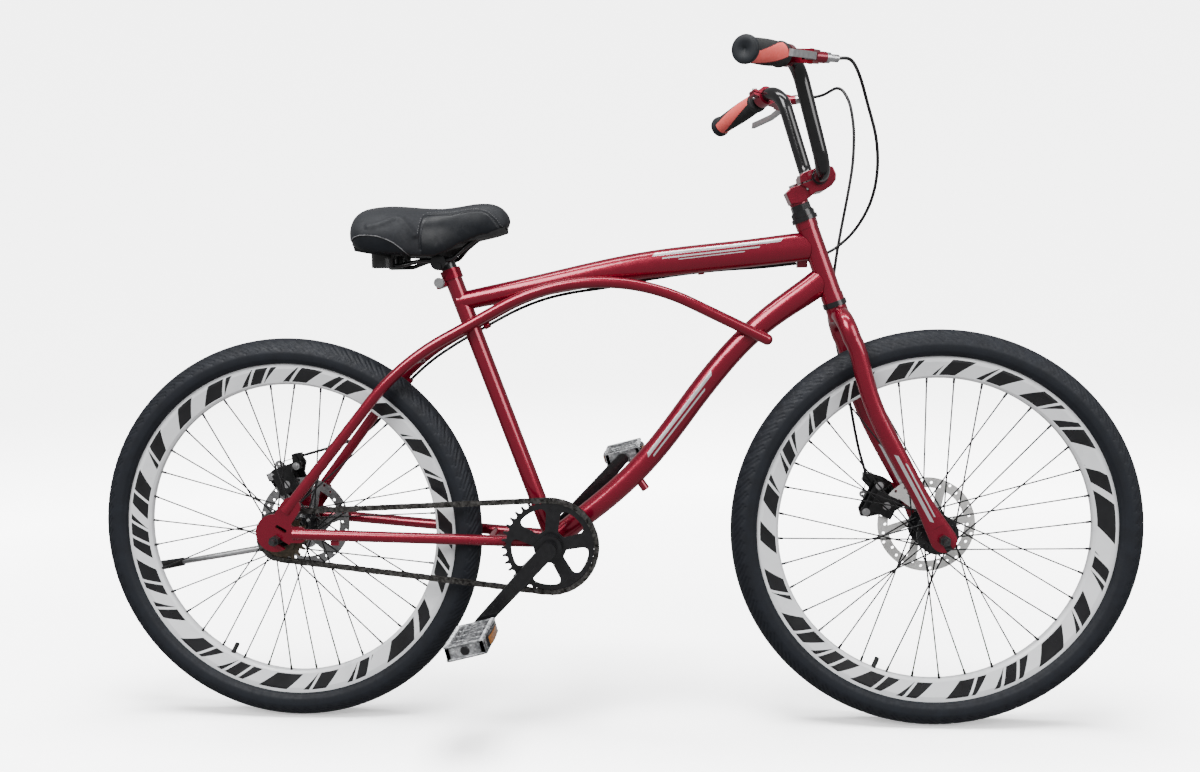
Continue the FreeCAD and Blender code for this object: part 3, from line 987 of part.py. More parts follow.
out("brake_lever_left", flip(lever_r))
out("front_axle", front_axle, *(f_rings + f_inner + f_space + f_nuts))
out("front_caliper", fc_body, fc_post, *(fc_pads + fc_bolts))
out("front_caliper_arm", fc_arm)
out("front_brake_cable", f_cable, f_wire)
out("rear_cable_loop", cable_loop)
for tag, c, sp, holes, hub, yr, va in (("front", FA, f_sp, f_holes, front_hub, FRONT_ROTOR_Y, FRONT_VALVE),
                                      ("rear", RA, r_sp, r_holes, rear_hub, REAR_ROTOR_Y, REAR_VALVE)):
    out(tag + "_tyre", tyre(c))
    out(tag + "_inner_tube", inner_tube(c, va))
    out(tag + "_rim", rim(c, holes, va))
    out(tag + "_spokes", *sp)
    out(tag + "_hub", hub)
    out(tag + "_rotor", rotor(c, yr), *rotor_bolts(c, yr))
out("freewheel", cog)
out("crank_axles", spindle, pax_r, pax_l)
out("crank_arms", arm_r, arm_l)
out("chainring", chainring)
out("pedal_right", *ped_r)
out("pedal_left", *ped_l)
print(len(NODES), "sub-parts")
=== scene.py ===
import bpy, bmesh, math, random
from mathutils import Vector as V, Matrix
from mathutils.bvhtree import BVHTree


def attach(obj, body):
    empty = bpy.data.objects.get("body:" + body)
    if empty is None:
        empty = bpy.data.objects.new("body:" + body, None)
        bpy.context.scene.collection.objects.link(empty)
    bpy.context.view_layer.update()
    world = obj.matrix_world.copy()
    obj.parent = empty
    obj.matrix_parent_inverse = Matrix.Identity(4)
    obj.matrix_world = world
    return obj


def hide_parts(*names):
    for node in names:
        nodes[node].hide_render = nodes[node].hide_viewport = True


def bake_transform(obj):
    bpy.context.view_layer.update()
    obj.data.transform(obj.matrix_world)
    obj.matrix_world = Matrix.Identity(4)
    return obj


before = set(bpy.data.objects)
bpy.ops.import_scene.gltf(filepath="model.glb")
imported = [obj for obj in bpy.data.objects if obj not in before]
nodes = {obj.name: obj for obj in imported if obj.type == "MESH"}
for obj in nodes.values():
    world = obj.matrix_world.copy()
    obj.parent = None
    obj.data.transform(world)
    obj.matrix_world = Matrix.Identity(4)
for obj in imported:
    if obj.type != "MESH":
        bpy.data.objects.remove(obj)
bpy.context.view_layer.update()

random.seed(7)

# ------------------------------------------------------------------ shared numbers, in metres
RA, FA, BB = V((-0.5365, 0, 0.328)), V((0.5365, 0, 0.328)), V((-0.0874, 0, 0.3115))


# ------------------------------------------------------------------ materials
def new_mat(name):
    m = bpy.data.materials.new(name)
    m.use_nodes = True
    t = m.node_tree
    return m, t, t.nodes["Principled BSDF"]


def noise_node(t, scale, detail=4.0, rough=0.55, stretch=None):
    co = t.nodes.new("ShaderNodeTexCoord")
    n = t.nodes.new("ShaderNodeTexNoise")
    n.inputs["Scale"].default_value = scale
    n.inputs["Detail"].default_value = detail
    n.inputs["Roughness"].default_value = rough
    if stretch:
        mp = t.nodes.new("ShaderNodeMapping")
        mp.inputs["Scale"].default_value = stretch
        t.links.new(co.outputs["Object"], mp.inputs["Vector"])
        t.links.new(mp.outputs["Vector"], n.inputs["Vector"])
    else:
        t.links.new(co.outputs["Object"], n.inputs["Vector"])
    return n


def ramp(t, fac, stops):
    r = t.nodes.new("ShaderNodeValToRGB")
    el = r.color_ramp.elements
    while len(el) < len(stops):
        el.new(0.5)
    for e, (p, c) in zip(el, stops):
        e.position = p
        e.color = (c[0], c[1], c[2], 1.0) if not isinstance(c, float) else (c, c, c, 1.0)
    t.links.new(fac, r.inputs["Fac"])
    return r


def bump(t, b, height, strength, dist):
    n = t.nodes.new("ShaderNodeBump")
    n.inputs["Strength"].default_value = strength
    n.inputs["Distance"].default_value = dist
    t.links.new(height, n.inputs["Height"])
    t.links.new(n.outputs["Normal"], b.inputs["Normal"])
    return n


def math_node(t, op, a, b=None, c=None):
    n = t.nodes.new("ShaderNodeMath")
    n.operation = op
    for i, v in enumerate((a, b, c)):
        if v is None:
            continue
        if isinstance(v, (int, float)):
            n.inputs[i].default_value = v
        else:
            t.links.new(v, n.inputs[i])
    return n.outputs[0]


def surface(name, c0, c1, scale, rough=(0.35, 0.5), metal=0.0, coat=0.0, coat_rough=0.05, bump_scale=None, bump_strength=0.1,
            bump_dist=0.0005, spec=0.5, stretch=None, sheen=0.0, detail=4.0):
    """Two-tone procedural surface with noise in colour, roughness and bump."""
    m, t, b = new_mat(name)
    n = noise_node(t, scale, detail, stretch=stretch)
    r = ramp(t, n.outputs["Fac"], [(0.3, c0), (0.7, c1)])
    t.links.new(r.outputs["Color"], b.inputs["Base Color"])
    n2 = noise_node(t, scale * 0.37 + 3, 3.0)
    rr = ramp(t, n2.outputs["Fac"], [(0.3, float(rough[0])), (0.7, float(rough[1]))])
    t.links.new(rr.outputs["Color"], b.inputs["Roughness"])
    b.inputs["Metallic"].default_value = metal
    b.inputs["Coat Weight"].default_value = coat
    b.inputs["Coat Roughness"].default_value = coat_rough
    b.inputs["Specular IOR Level"].default_value = spec
    b.inputs["Sheen Weight"].default_value = sheen
    if bump_scale:
        n3 = noise_node(t, bump_scale, 3.0, stretch=stretch)
        bump(t, b, n3.outputs["Fac"], bump_strength, bump_dist)
    return m


def candy_red(name, stripes=None, black=None):
    """Metallic red under clear lacquer; optional plain silver stripes and black areas masked in object space."""
    m, t, b = new_mat(name)
    n = noise_node(t, 2200, 2.0)
    base = ramp(t, n.outputs["Fac"], [(0.25, (0.150, 0.0016, 0.0125)), (0.55, (0.255, 0.0032, 0.0235)), (0.8, (0.38, 0.008, 0.042))])
    col = base.outputs["Color"]
    if stripes:
        mask = stripes(t)
        mx = t.nodes.new("ShaderNodeMix")
        mx.data_type = "RGBA"
        t.links.new(mask, mx.inputs["Factor"])
        t.links.new(col, mx.inputs[6])
        n4 = noise_node(t, 900, 2.0)
        silver = ramp(t, n4.outputs["Fac"], [(0.3, (0.50, 0.50, 0.52)), (0.7, (0.68, 0.68, 0.70))])
        t.links.new(silver.outputs["Color"], mx.inputs[7])
        col = mx.outputs[2]
    if black:
        mb = t.nodes.new("ShaderNodeMix")
        mb.data_type = "RGBA"
        t.links.new(black(t), mb.inputs["Factor"])
        t.links.new(col, mb.inputs[6])
        n5 = noise_node(t, 130, 3.0)
        dk = ramp(t, n5.outputs["Fac"], [(0.3, (0.006, 0.006, 0.0065)), (0.7, (0.014, 0.014, 0.015))])
        t.links.new(dk.outputs["Color"], mb.inputs[7])
        col = mb.outputs[2]
    t.links.new(col, b.inputs["Base Color"])
    n2 = noise_node(t, 60, 3.0)
    rr = ramp(t, n2.outputs["Fac"], [(0.3, 0.22), (0.7, 0.30)])
    t.links.new(rr.outputs["Color"], b.inputs["Roughness"])
    b.inputs["Metallic"].default_value = 0.60
    b.inputs["Coat Weight"].default_value = 0.7
    b.inputs["Coat Roughness"].default_value = 0.03
    n3 = noise_node(t, 260, 2.0)
    bump(t, b, n3.outputs["Fac"], 0.03, 0.0004)
    return m


def xyz(t):
    co = t.nodes.new("ShaderNodeTexCoord")
    s = t.nodes.new("ShaderNodeSeparateXYZ")
    t.links.new(co.outputs["Object"], s.inputs[0])
    return s.outputs[0], s.outputs[1], s.outputs[2]


def band(t, v, lo, hi):
    return math_node(t, "MULTIPLY", math_node(t, "GREATER_THAN", v, lo), math_node(t, "LESS_THAN", v, hi))


def line_stripes(p0, d, lo, hi, offsets):
    """Stripes along direction d from p0, at signed offsets (centre, half width) across it in side view."""
    def build(t):
        x, y, z = xyz(t)
        dx, dz = d
        rx = math_node(t, "SUBTRACT", x, p0[0])
        rz = math_node(t, "SUBTRACT", z, p0[1])
        s = math_node(t, "ADD", math_node(t, "MULTIPLY", rx, dx), math_node(t, "MULTIPLY", rz, dz))
        v = math_node(t, "ADD", math_node(t, "MULTIPLY", rx, -dz), math_node(t, "MULTIPLY", rz, dx))
        total = None
        for (c, h, a, e) in offsets:
            # slanted ends
            sl = math_node(t, "ADD", s, math_node(t, "MULTIPLY", v, -0.9))
            k = math_node(t, "MULTIPLY", band(t, v, c - h, c + h), band(t, sl, lo + a, hi + e))
            total = k if total is None else math_node(t, "MAXIMUM", total, k)
        return total
    return build


def two_tone(name, masks, c0, c1, k0, k1, rough=(0.3, 0.45), metal=(0.2, 1.0), spec=0.5):
    """One surface with areas of a second metal, such as bolt heads, masked by distance from axes along Y: (x, z, radius, y low, y high)."""
    m, t, b = new_mat(name)
    x, y, z = xyz(t)
    total = None
    for (ax, az, r, y0, y1) in masks:
        dx, dz = math_node(t, "SUBTRACT", x, ax), math_node(t, "SUBTRACT", z, az)
        d2 = math_node(t, "ADD", math_node(t, "MULTIPLY", dx, dx), math_node(t, "MULTIPLY", dz, dz))
        k = math_node(t, "MULTIPLY", math_node(t, "LESS_THAN", d2, r * r), band(t, y, y0, y1))
        total = k if total is None else math_node(t, "MAXIMUM", total, k)
    n = noise_node(t, 140, 3.0)
    ra = ramp(t, n.outputs["Fac"], [(0.3, c0), (0.7, c1)])
    rb = ramp(t, n.outputs["Fac"], [(0.3, k0), (0.7, k1)])
    mx = t.nodes.new("ShaderNodeMix")
    mx.data_type = "RGBA"
    t.links.new(total, mx.inputs["Factor"])
    t.links.new(ra.outputs["Color"], mx.inputs[6])
    t.links.new(rb.outputs["Color"], mx.inputs[7])
    t.links.new(mx.outputs[2], b.inputs["Base Color"])
    t.links.new(math_node(t, "MULTIPLY_ADD", total, metal[1] - metal[0], metal[0]), b.inputs["Metallic"])
    n2 = noise_node(t, 60, 3.0)
    rr = ramp(t, n2.outputs["Fac"], [(0.3, float(rough[0])), (0.7, float(rough[1]))])
    t.links.new(rr.outputs["Color"], b.inputs["Roughness"])
    b.inputs["Specular IOR Level"].default_value = spec
    n3 = noise_node(t, 600, 2.0)
    bump(t, b, n3.outputs["Fac"], 0.05, 0.0004)
    return m


def fork_plate(t):
    """The caliper plate behind the left fork blade."""
    x, y, z = xyz(t)
    edge = math_node(t, "ADD", x, math_node(t, "MULTIPLY", math_node(t, "SUBTRACT", z, 0.383), 0.53))
    return math_node(t, "MULTIPLY", math_node(t, "MULTIPLY", math_node(t, "LESS_THAN", edge, 0.4885), band(t, z, 0.330, 0.416)), math_node(t, "GREATER_THAN", y, 0.050))


def rear_tab(t):
    """The caliper tab above the left dropout."""
    x, y, z = xyz(t)
    side = math_node(t, "LESS_THAN", math_node(t, "ADD", x, math_node(t, "MULTIPLY", math_node(t, "SUBTRACT", z, 0.385), -0.4)), -0.5285)
    return math_node(t, "MULTIPLY", math_node(t, "MULTIPLY", side, math_node(t, "GREATER_THAN", z, 0.3715)), math_node(t, "GREATER_THAN", y, 0.02))


red = candy_red("paint_red")
red_top = candy_red("paint_red_top", line_stripes((0.150, 0.7745), (0.995, 0.095), -0.075, 0.13,
                                                  [(0.0135, 0.0026, 0.0, 0.0), (0.0065, 0.0012, 0.02, -0.03), (0.002, 0.0008, 0.05, -0.05)]))
red_down = candy_red("paint_red_down", line_stripes((0.1265, 0.518), (0.612, 0.790), -0.085, 0.085,
                                                    [(0.0045, 0.0028, 0.0, 0.0), (-0.0035, 0.0014, 0.012, -0.02)]))
FORK_LINES = line_stripes((0.488, 0.418), (-0.470, 0.883), -0.07, 0.05, [(0.003, 0.0025, 0.0, 0.0), (-0.0045, 0.0012, 0.012, -0.012)])
red_fork = candy_red("paint_red_fork", FORK_LINES)
red_fork_left = candy_red("paint_red_fork_left", FORK_LINES, fork_plate)
red_drop = candy_red("paint_red_dropout", None, rear_tab)
black_gloss = surface("black_gloss", (0.0045, 0.0045, 0.005), (0.009, 0.009, 0.010), 90, (0.14, 0.22), coat=0.5, coat_rough=0.04, bump_scale=240, bump_strength=0.02, spec=0.4)
black_parts = surface("black_parts", (0.0048, 0.0048, 0.0056), (0.011, 0.011, 0.0125), 120, (0.20, 0.32), metal=0.1, coat=0.35, coat_rough=0.06, bump_scale=500, bump_strength=0.03, spec=0.45)
black_matt = surface("black_matt", (0.006, 0.006, 0.0065), (0.014, 0.014, 0.015), 150, (0.5, 0.7), bump_scale=900, bump_strength=0.12, spec=0.35)
steel = surface("steel", (0.50, 0.50, 0.51), (0.70, 0.70, 0.71), 300, (0.2, 0.34), metal=1.0, bump_scale=900, bump_strength=0.04)
dark_steel = surface("dark_steel", (0.05, 0.05, 0.052), (0.12, 0.12, 0.122), 300, (0.28, 0.42), metal=0.9, bump_scale=900, bump_strength=0.05)
spoke_steel = surface("spoke_steel", (0.010, 0.010, 0.011), (0.022, 0.022, 0.023), 200, (0.36, 0.5), metal=0.5)
rotor_steel = surface("rotor_steel", (0.30, 0.30, 0.305), (0.48, 0.48, 0.49), 420, (0.26, 0.42), metal=0.9, bump_scale=1300, bump_strength=0.06)
# front rotor: the same steel as the rear rotor, drawn paler and less metallic, a painted highlight standing in for the
# studio light it reflects
rotor_painted_highlight = surface("rotor_painted_highlight", (0.66, 0.655, 0.64), (0.86, 0.855, 0.84), 420, (0.36, 0.5), metal=0.35, bump_scale=1300, bump_strength=0.06)
alloy = surface("alloy", (0.46, 0.46, 0.47), (0.62, 0.62, 0.63), 160, (0.28, 0.42), metal=0.9, bump_scale=700, bump_strength=0.08)
chain_brown = surface("chain_brown", (0.012, 0.011, 0.010), (0.13, 0.125, 0.12), 190, (0.35, 0.55), metal=0.8, bump_scale=900, bump_strength=0.1, detail=2.0)
cog_brown = surface("cog_brown", (0.05, 0.040, 0.028), (0.13, 0.105, 0.075), 130, (0.4, 0.6), metal=0.6, bump_scale=500, bump_strength=0.12)
cable_black = surface("cable_black", (0.0045, 0.0045, 0.005), (0.010, 0.010, 0.011), 300, (0.3, 0.42), bump_scale=1200, bump_strength=0.05, spec=0.4)
rubber = surface("rubber", (0.012, 0.0125, 0.013), (0.026, 0.027, 0.028), 220, (0.55, 0.75), bump_scale=1400, bump_strength=0.18, spec=0.4)
cap_rubber = surface("cap_rubber", (0.006, 0.0075, 0.010), (0.012, 0.015, 0.020), 180, (0.5, 0.66), bump_scale=1400, bump_strength=0.12, spec=0.4)
amber = surface("amber", (0.20, 0.060, 0.003), (0.44, 0.15, 0.010), 420, (0.12, 0.25), coat=0.6, bump_scale=1100, bump_strength=0.5)


def axis_points(c, ang, rows):
    """Points given as (outward, along) from an axle at an angle, as (x, z)."""
    a = math.radians(ang)
    return [(c.x + r * math.cos(a) - q * math.sin(a), c.z + r * math.sin(a) + q * math.cos(a)) for r, q in rows]


CAL = [(0.097, -0.025), (0.097, 0.025), (0.074, 0.0)]
DARK2, SILVER2 = ((0.0055, 0.0055, 0.006), (0.014, 0.014, 0.015)), ((0.50, 0.50, 0.51), (0.72, 0.72, 0.73))
caliper_front = two_tone("caliper_front", [(x, z, 0.0066, 0.0, 0.2) for x, z in axis_points(FA, 154, CAL)], *DARK2, *SILVER2)
caliper_rear = two_tone("caliper_rear", [(x, z, 0.0066, 0.0, 0.2) for x, z in axis_points(RA, 112, CAL)], *DARK2, *SILVER2)
seat_ring = two_tone("seat_ring", [(-0.2652, 0.7436, 0.0088, -0.03, -0.0109), (-0.2652, 0.7436, 0.0088, 0.0109, 0.03)],
                     (0.150, 0.0016, 0.0125), (0.27, 0.0035, 0.025), *SILVER2, rough=(0.2, 0.30), metal=(0.60, 1.0))


def tyre_mat():
    m, t, b = new_mat("tyre_rubber")
    n = noise_node(t, 45, 5.0)
    r = ramp(t, n.outputs["Fac"], [(0.3, (0.0030, 0.0043, 0.0078)), (0.7, (0.0060, 0.0083, 0.0138))])
    t.links.new(r.outputs["Color"], b.inputs["Base Color"])
    n2 = noise_node(t, 160, 4.0)
    rr = ramp(t, n2.outputs["Fac"], [(0.3, 0.55), (0.7, 0.72)])
    t.links.new(rr.outputs["Color"], b.inputs["Roughness"])
    b.inputs["Specular IOR Level"].default_value = 0.4
    n3 = noise_node(t, 1500, 2.0)
    bump(t, b, n3.outputs["Fac"], 0.12, 0.0004)
    return m


tyre_rubber = tyre_mat()


def rim_mat(name, c, turn):
    """White paint with plain black slanted blocks round the rim wall."""
    m, t, b = new_mat(name)
    x, y, z = xyz(t)
    rx, rz = math_node(t, "SUBTRACT", x, c.x), math_node(t, "SUBTRACT", z, c.z)
    ang = math_node(t, "ADD", math_node(t, "ARCTAN2", rz, rx), math.pi + turn)
    rad = math_node(t, "SQRT", math_node(t, "ADD", math_node(t, "MULTIPLY", rx, rx), math_node(t, "MULTIPLY", rz, rz)))
    v = math_node(t, "DIVIDE", math_node(t, "SUBTRACT", rad, 0.2525), 0.031)

    def cells(count, shift, skew):
        """Running position round the rim in cells: (position inside the cell, fixed random number of the cell)."""
        u = math_node(t, "ADD", math_node(t, "MULTIPLY", ang, count / (2 * math.pi)), math_node(t, "ADD", math_node(t, "MULTIPLY", v, skew), shift))
        k = math_node(t, "FLOORED_MODULO", math_node(t, "FLOOR", u), float(count))
        rnd = math_node(t, "FRACT", math_node(t, "MULTIPLY", math_node(t, "SINE", math_node(t, "ADD", math_node(t, "MULTIPLY", k, 12.9898), shift * 31.0)), 437.585))
        return math_node(t, "FRACT", u), rnd
    u1, r1 = cells(22, 0.13, 0.45)
    block = math_node(t, "MULTIPLY", math_node(t, "LESS_THAN", u1, math_node(t, "MULTIPLY_ADD", r1, 0.42, 0.40)), band(t, v, 0.09, 0.91))
    # thin slanted gaps in the wider blocks
    u2, r2 = cells(66, 0.41, 0.9)
    gap = math_node(t, "MULTIPLY", math_node(t, "LESS_THAN", u2, 0.20), math_node(t, "GREATER_THAN", r2, 0.40))
    blk = math_node(t, "MULTIPLY", block, math_node(t, "SUBTRACT", 1.0, gap))
    n = noise_node(t, 30, 3.0)
    white = ramp(t, n.outputs["Fac"], [(0.3, (0.78, 0.79, 0.81)), (0.7, (0.85, 0.86, 0.88))])
    mx = t.nodes.new("ShaderNodeMix")
    mx.data_type = "RGBA"
    t.links.new(blk, mx.inputs["Factor"])
    t.links.new(white.outputs["Color"], mx.inputs[6])
    n2 = noise_node(t, 50, 3.0)
    dark = ramp(t, n2.outputs["Fac"], [(0.3, (0.005, 0.005, 0.006)), (0.7, (0.010, 0.010, 0.012))])
    t.links.new(dark.outputs["Color"], mx.inputs[7])
    t.links.new(mx.outputs[2], b.inputs["Base Color"])
    rr = ramp(t, n.outputs["Fac"], [(0.3, 0.24), (0.7, 0.36)])
    t.links.new(rr.outputs["Color"], b.inputs["Roughness"])
    b.inputs["Coat Weight"].default_value = 0.25
    b.inputs["Coat Roughness"].default_value = 0.08
    return m


rim_front, rim_rear = rim_mat("rim_front", FA, 0.2), rim_mat("rim_rear", RA, 1.1)

cover_mat = surface("cover_mat", (0.0070, 0.0082, 0.0112), (0.0120, 0.0138, 0.0180), 240, (0.5, 0.66), bump_scale=1500, bump_strength=0.3, bump_dist=0.0006, sheen=0.05, spec=0.35)
panel_mat = surface("panel_mat", (0.0020, 0.0030, 0.0052), (0.0038, 0.0052, 0.0082), 120, (0.34, 0.44), bump_scale=900, bump_strength=0.08, spec=0.35)
piping_mat = surface("piping_mat", (0.10, 0.10, 0.105), (0.18, 0.18, 0.19), 500, (0.45, 0.6), bump_scale=1500, bump_strength=0.2)
coral = surface("coral", (0.94, 0.105, 0.090), (1.0, 0.17, 0.145), 260, (0.5, 0.68), bump_scale=1500, bump_strength=0.2)


def clear_plastic():
    """Bright, partly clear plastic with moulded facets."""
    m, t, b = new_mat("clear_plastic")
    n = noise_node(t, 160, 4.0)
    r = ramp(t, n.outputs["Fac"], [(0.3, (0.10, 0.104, 0.112)), (0.5, (0.26, 0.265, 0.275)), (0.7, (0.60, 0.61, 0.625))])
    t.links.new(r.outputs["Color"], b.inputs["Base Color"])
    rr = ramp(t, n.outputs["Fac"], [(0.3, 0.12), (0.7, 0.28)])
    t.links.new(rr.outputs["Color"], b.inputs["Roughness"])
    b.inputs["Metallic"].default_value = 0.3
    b.inputs["Transmission Weight"].default_value = 0.25
    b.inputs["IOR"].default_value = 1.49
    n3 = noise_node(t, 420, 1.0)
    bump(t, b, n3.outputs["Fac"], 0.5, 0.0008)
    return m


pedal_mat = clear_plastic()


def dress(material, *names):
    for n in names:
        o = nodes[n]
        o.data.materials.clear()
        o.data.materials.append(material)


dress(red, "head_tube", "seat_tube", "bottom_bracket_shell", "arch_stays", "chain_stays", "frame_brackets", "fork_steerer",
      "stem", "lever_perch_right", "lever_perch_left")
dress(red_drop, "dropouts")
dress(red_top, "top_tube")
dress(red_down, "down_tube")
dress(red_fork, "fork_blade_right")
dress(red_fork_left, "fork_blade_left")
dress(black_gloss, "handlebar")
dress(seat_ring, "seat_clamp")
dress(caliper_front, "front_caliper")
dress(caliper_rear, "rear_caliper")
dress(black_parts, "headset_bearings", "headset_nuts", "seatpost", "crank_arms", "crank_axles", "chainring", "front_hub", "rear_hub", "saddle_rails")
dress(steel, "bottom_bracket_bearings", "steering_fasteners", "rear_caliper_arm", "front_caliper_arm", "kickstand_bracket")
dress(dark_steel, "front_axle", "rear_axle")
dress(spoke_steel, "rear_spokes", "front_spokes")
dress(rotor_steel, "rear_rotor")
# the front rotor takes the paler rotor colour that carries the painted highlight
dress(rotor_painted_highlight, "front_rotor")
dress(alloy, "kickstand_leg", "brake_lever_right", "brake_lever_left")
dress(rubber, "kickstand_foot", "grip_right", "grip_left", "front_inner_tube", "rear_inner_tube")
dress(rim_front, "front_rim")
dress(rim_rear, "rear_rim")
dress(tyre_rubber, "front_tyre", "rear_tyre")
dress(cover_mat, "saddle_cushion")
dress(black_matt, "saddle_base")
dress(pedal_mat, "pedal_right", "pedal_left")
dress(chain_brown, "chain")
dress(cog_brown, "freewheel")
dress(cable_black, "rear_brake_cable", "front_brake_cable", "rear_cable_loop")


# ------------------------------------------------------------------ mesh helpers
def add(name, verts, faces, body, mats, smooth=True, face_mat=None, hide=()):
    me = bpy.data.meshes.new(name)
    me.from_pydata([tuple(v) for v in verts], [], faces)
    me.validate()
    o = bpy.data.objects.new(name, me)
    bpy.context.collection.objects.link(o)
    for m in (mats if isinstance(mats, (list, tuple)) else [mats]):
        me.materials.append(m)
    if face_mat:
        me.polygons.foreach_set("material_index", face_mat)
    if smooth:
        me.polygons.foreach_set("use_smooth", [True] * len(me.polygons))
    bm = bmesh.new()
    bm.from_mesh(me)
    bmesh.ops.recalc_face_normals(bm, faces=bm.faces)
    bm.to_mesh(me)
    bm.free()
    me.update()
    if body:
        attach(o, body)
    if hide:
        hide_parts(*hide)
    return o


def grid_faces(rows, cols, close_rows=True, close_cols=True):
    f = []
    for i in range(rows if close_rows else rows - 1):
        for j in range(cols if close_cols else cols - 1):
            a, b = i * cols + j, i * cols + (j + 1) % cols
            c, d = ((i + 1) % rows) * cols + (j + 1) % cols, ((i + 1) % rows) * cols + j
            f.append((a, b, c, d))
    return f


# ------------------------------------------------------------------ tyres
def tyre(name, c, body, node):
    """Full cross-section turned round the axle: smooth side walls, a middle rib and curved shoulder cuts."""
    R0, r = 0.303, 0.025
    segs, pitch_n = 1440, 96
    phis = [math.radians(-131 + 262 * i / 52.0) for i in range(53)]
    inner = [(0.2866, 0.0118), (0.280, 0.0118), (0.280, 0.0085), (0.2896, 0.0085), (0.2896, 0.0165), (0.3235, 0.009), (0.3235, -0.009), (0.2896, -0.0165),
             (0.2896, -0.0085), (0.280, -0.0085), (0.280, -0.0118), (0.2866, -0.0118)]
    cols = len(phis) + len(inner)
    verts = []
    for i in range(segs):
        th = 2 * math.pi * i / segs
        ct, st = math.cos(th), math.sin(th)
        for ph in phis:
            a = abs(math.degrees(ph))
            d = 0.0
            if a < 78:
                u = pitch_n * th / (2 * math.pi) + (0.5 if ph < 0 else 0.0)
                # long curved cuts over the shoulder, short cuts between them
                t1 = (u + 1.15 * (a / 60.0) ** 1.6) % 1.0
                t2 = (u + 0.5 + 1.15 * (a / 60.0) ** 1.6) % 1.0
                if 17 < a < 70:
                    d = max(d, 0.0019 * max(0.0, 1 - (abs(t1 - 0.5) / 0.12) ** 4) if abs(t1 - 0.5) < 0.12 else 0.0)
                if 40 < a < 76:
                    d = max(d, 0.0016 * max(0.0, 1 - (abs(t2 - 0.5) / 0.10) ** 4) if abs(t2 - 0.5) < 0.10 else 0.0)
                if 11 < a < 15:
                    d = max(d, 0.0011)
            # moulded rings on the side wall
            if 83 < a < 87 or 108 < a < 112:
                d -= 0.00035
            if 118 < a < 123:
                d += 0.0003
            rr = R0 + (r - d) * math.cos(ph)
            y = (r - d) * math.sin(ph)
            verts.append((c.x + rr * ct, y, c.z + rr * st))
        for rr, y in inner:
            verts.append((c.x + rr * ct, y, c.z + rr * st))
    return add(name, verts, grid_faces(segs, cols), body, tyre_rubber, hide=(node,))


tyre("tyre_front", FA, "front_wheel", "front_tyre")
tyre("tyre_rear", RA, "rear_wheel", "rear_tyre")

# ------------------------------------------------------------------ saddle
SAD = [(-0.3955, 0.056, 0.8440, 0.8060, 0.812), (-0.3894, 0.078, 0.8555, 0.8010, 0.803), (-0.3766, 0.092, 0.8648, 0.7940, 0.798), (-0.3567, 0.099, 0.8688, 0.7890, 0.796),
       (-0.3311, 0.100, 0.8700, 0.7865, 0.796), (-0.3027, 0.091, 0.8678, 0.7845, 0.798), (-0.2790, 0.073, 0.8655, 0.7826, 0.800), (-0.2525, 0.055, 0.8655, 0.7860, 0.805),
       (-0.2269, 0.043, 0.8685, 0.8005, 0.811), (-0.2004, 0.035, 0.8725, 0.8125, 0.8185), (-0.1749, 0.0295, 0.8718, 0.8189, 0.823), (-0.1578, 0.023, 0.8640, 0.8255, 0.828),
       (-0.1474, 0.013, 0.8510, 0.8320, 0.8345)]


def lerp_table(table, x):
    """Smooth (Catmull-Rom) row of a table at x."""
    n = len(table)
    k = max(i for i in range(n) if table[i][0] <= x + 1e-9)
    k = min(k, n - 2)
    p0, p1, p2, p3 = table[max(k - 1, 0)], table[k], table[k + 1], table[min(k + 2, n - 1)]
    u = (x - p1[0]) / (p2[0] - p1[0])
    res = []
    for j in range(1, len(p1)):
        m1 = (p2[j] - p0[j]) / (p2[0] - p0[0]) * (p2[0] - p1[0])
        m2 = (p3[j] - p1[j]) / (p3[0] - p1[0]) * (p2[0] - p1[0])
        h = (2 * u ** 3 - 3 * u ** 2 + 1) * p1[j] + (u ** 3 - 2 * u ** 2 + u) * m1 + (-2 * u ** 3 + 3 * u ** 2) * p2[j] + (u ** 3 - u ** 2) * m2
        res.append(h)
    return res


def saddle_section(x, shrink=0.0):
    w, t, bs, bc = lerp_table(SAD, x)
    w, t = w - shrink, t - shrink
    mid = bs + (t - bs) * 0.40
    pts = []
    for i in range(33):
        a = math.pi * i / 32
        ca, sa = math.cos(a), math.sin(a)
        pts.append((w * math.copysign(abs(ca) ** 0.70, ca), mid + (t - mid) * abs(sa) ** 1.2))
    low = [(0.992, mid + (bs - mid) * 0.35), (0.97, mid + (bs - mid) * 0.7), (0.93, bs + 0.003), (0.88, bs), (0.80, bs + 0.003), (0.70, bs * 0.4 + bc * 0.6), (0.5, bc), (0.2, bc)]
    pts += [(-w * f, z) for f, z in low] + [(w * f, z) for f, z in reversed(low)]
    return pts


def polyline_distance(px, pz, line):
    best = 9.0
    for (ax, az), (bx, bz) in zip(line, line[1:]):
        dx, dz = bx - ax, bz - az
        q = max(0.0, min(1.0, ((px - ax) * dx + (pz - az) * dz) / (dx * dx + dz * dz)))
        best = min(best, math.hypot(px - ax - q * dx, pz - az - q * dz))
    return best


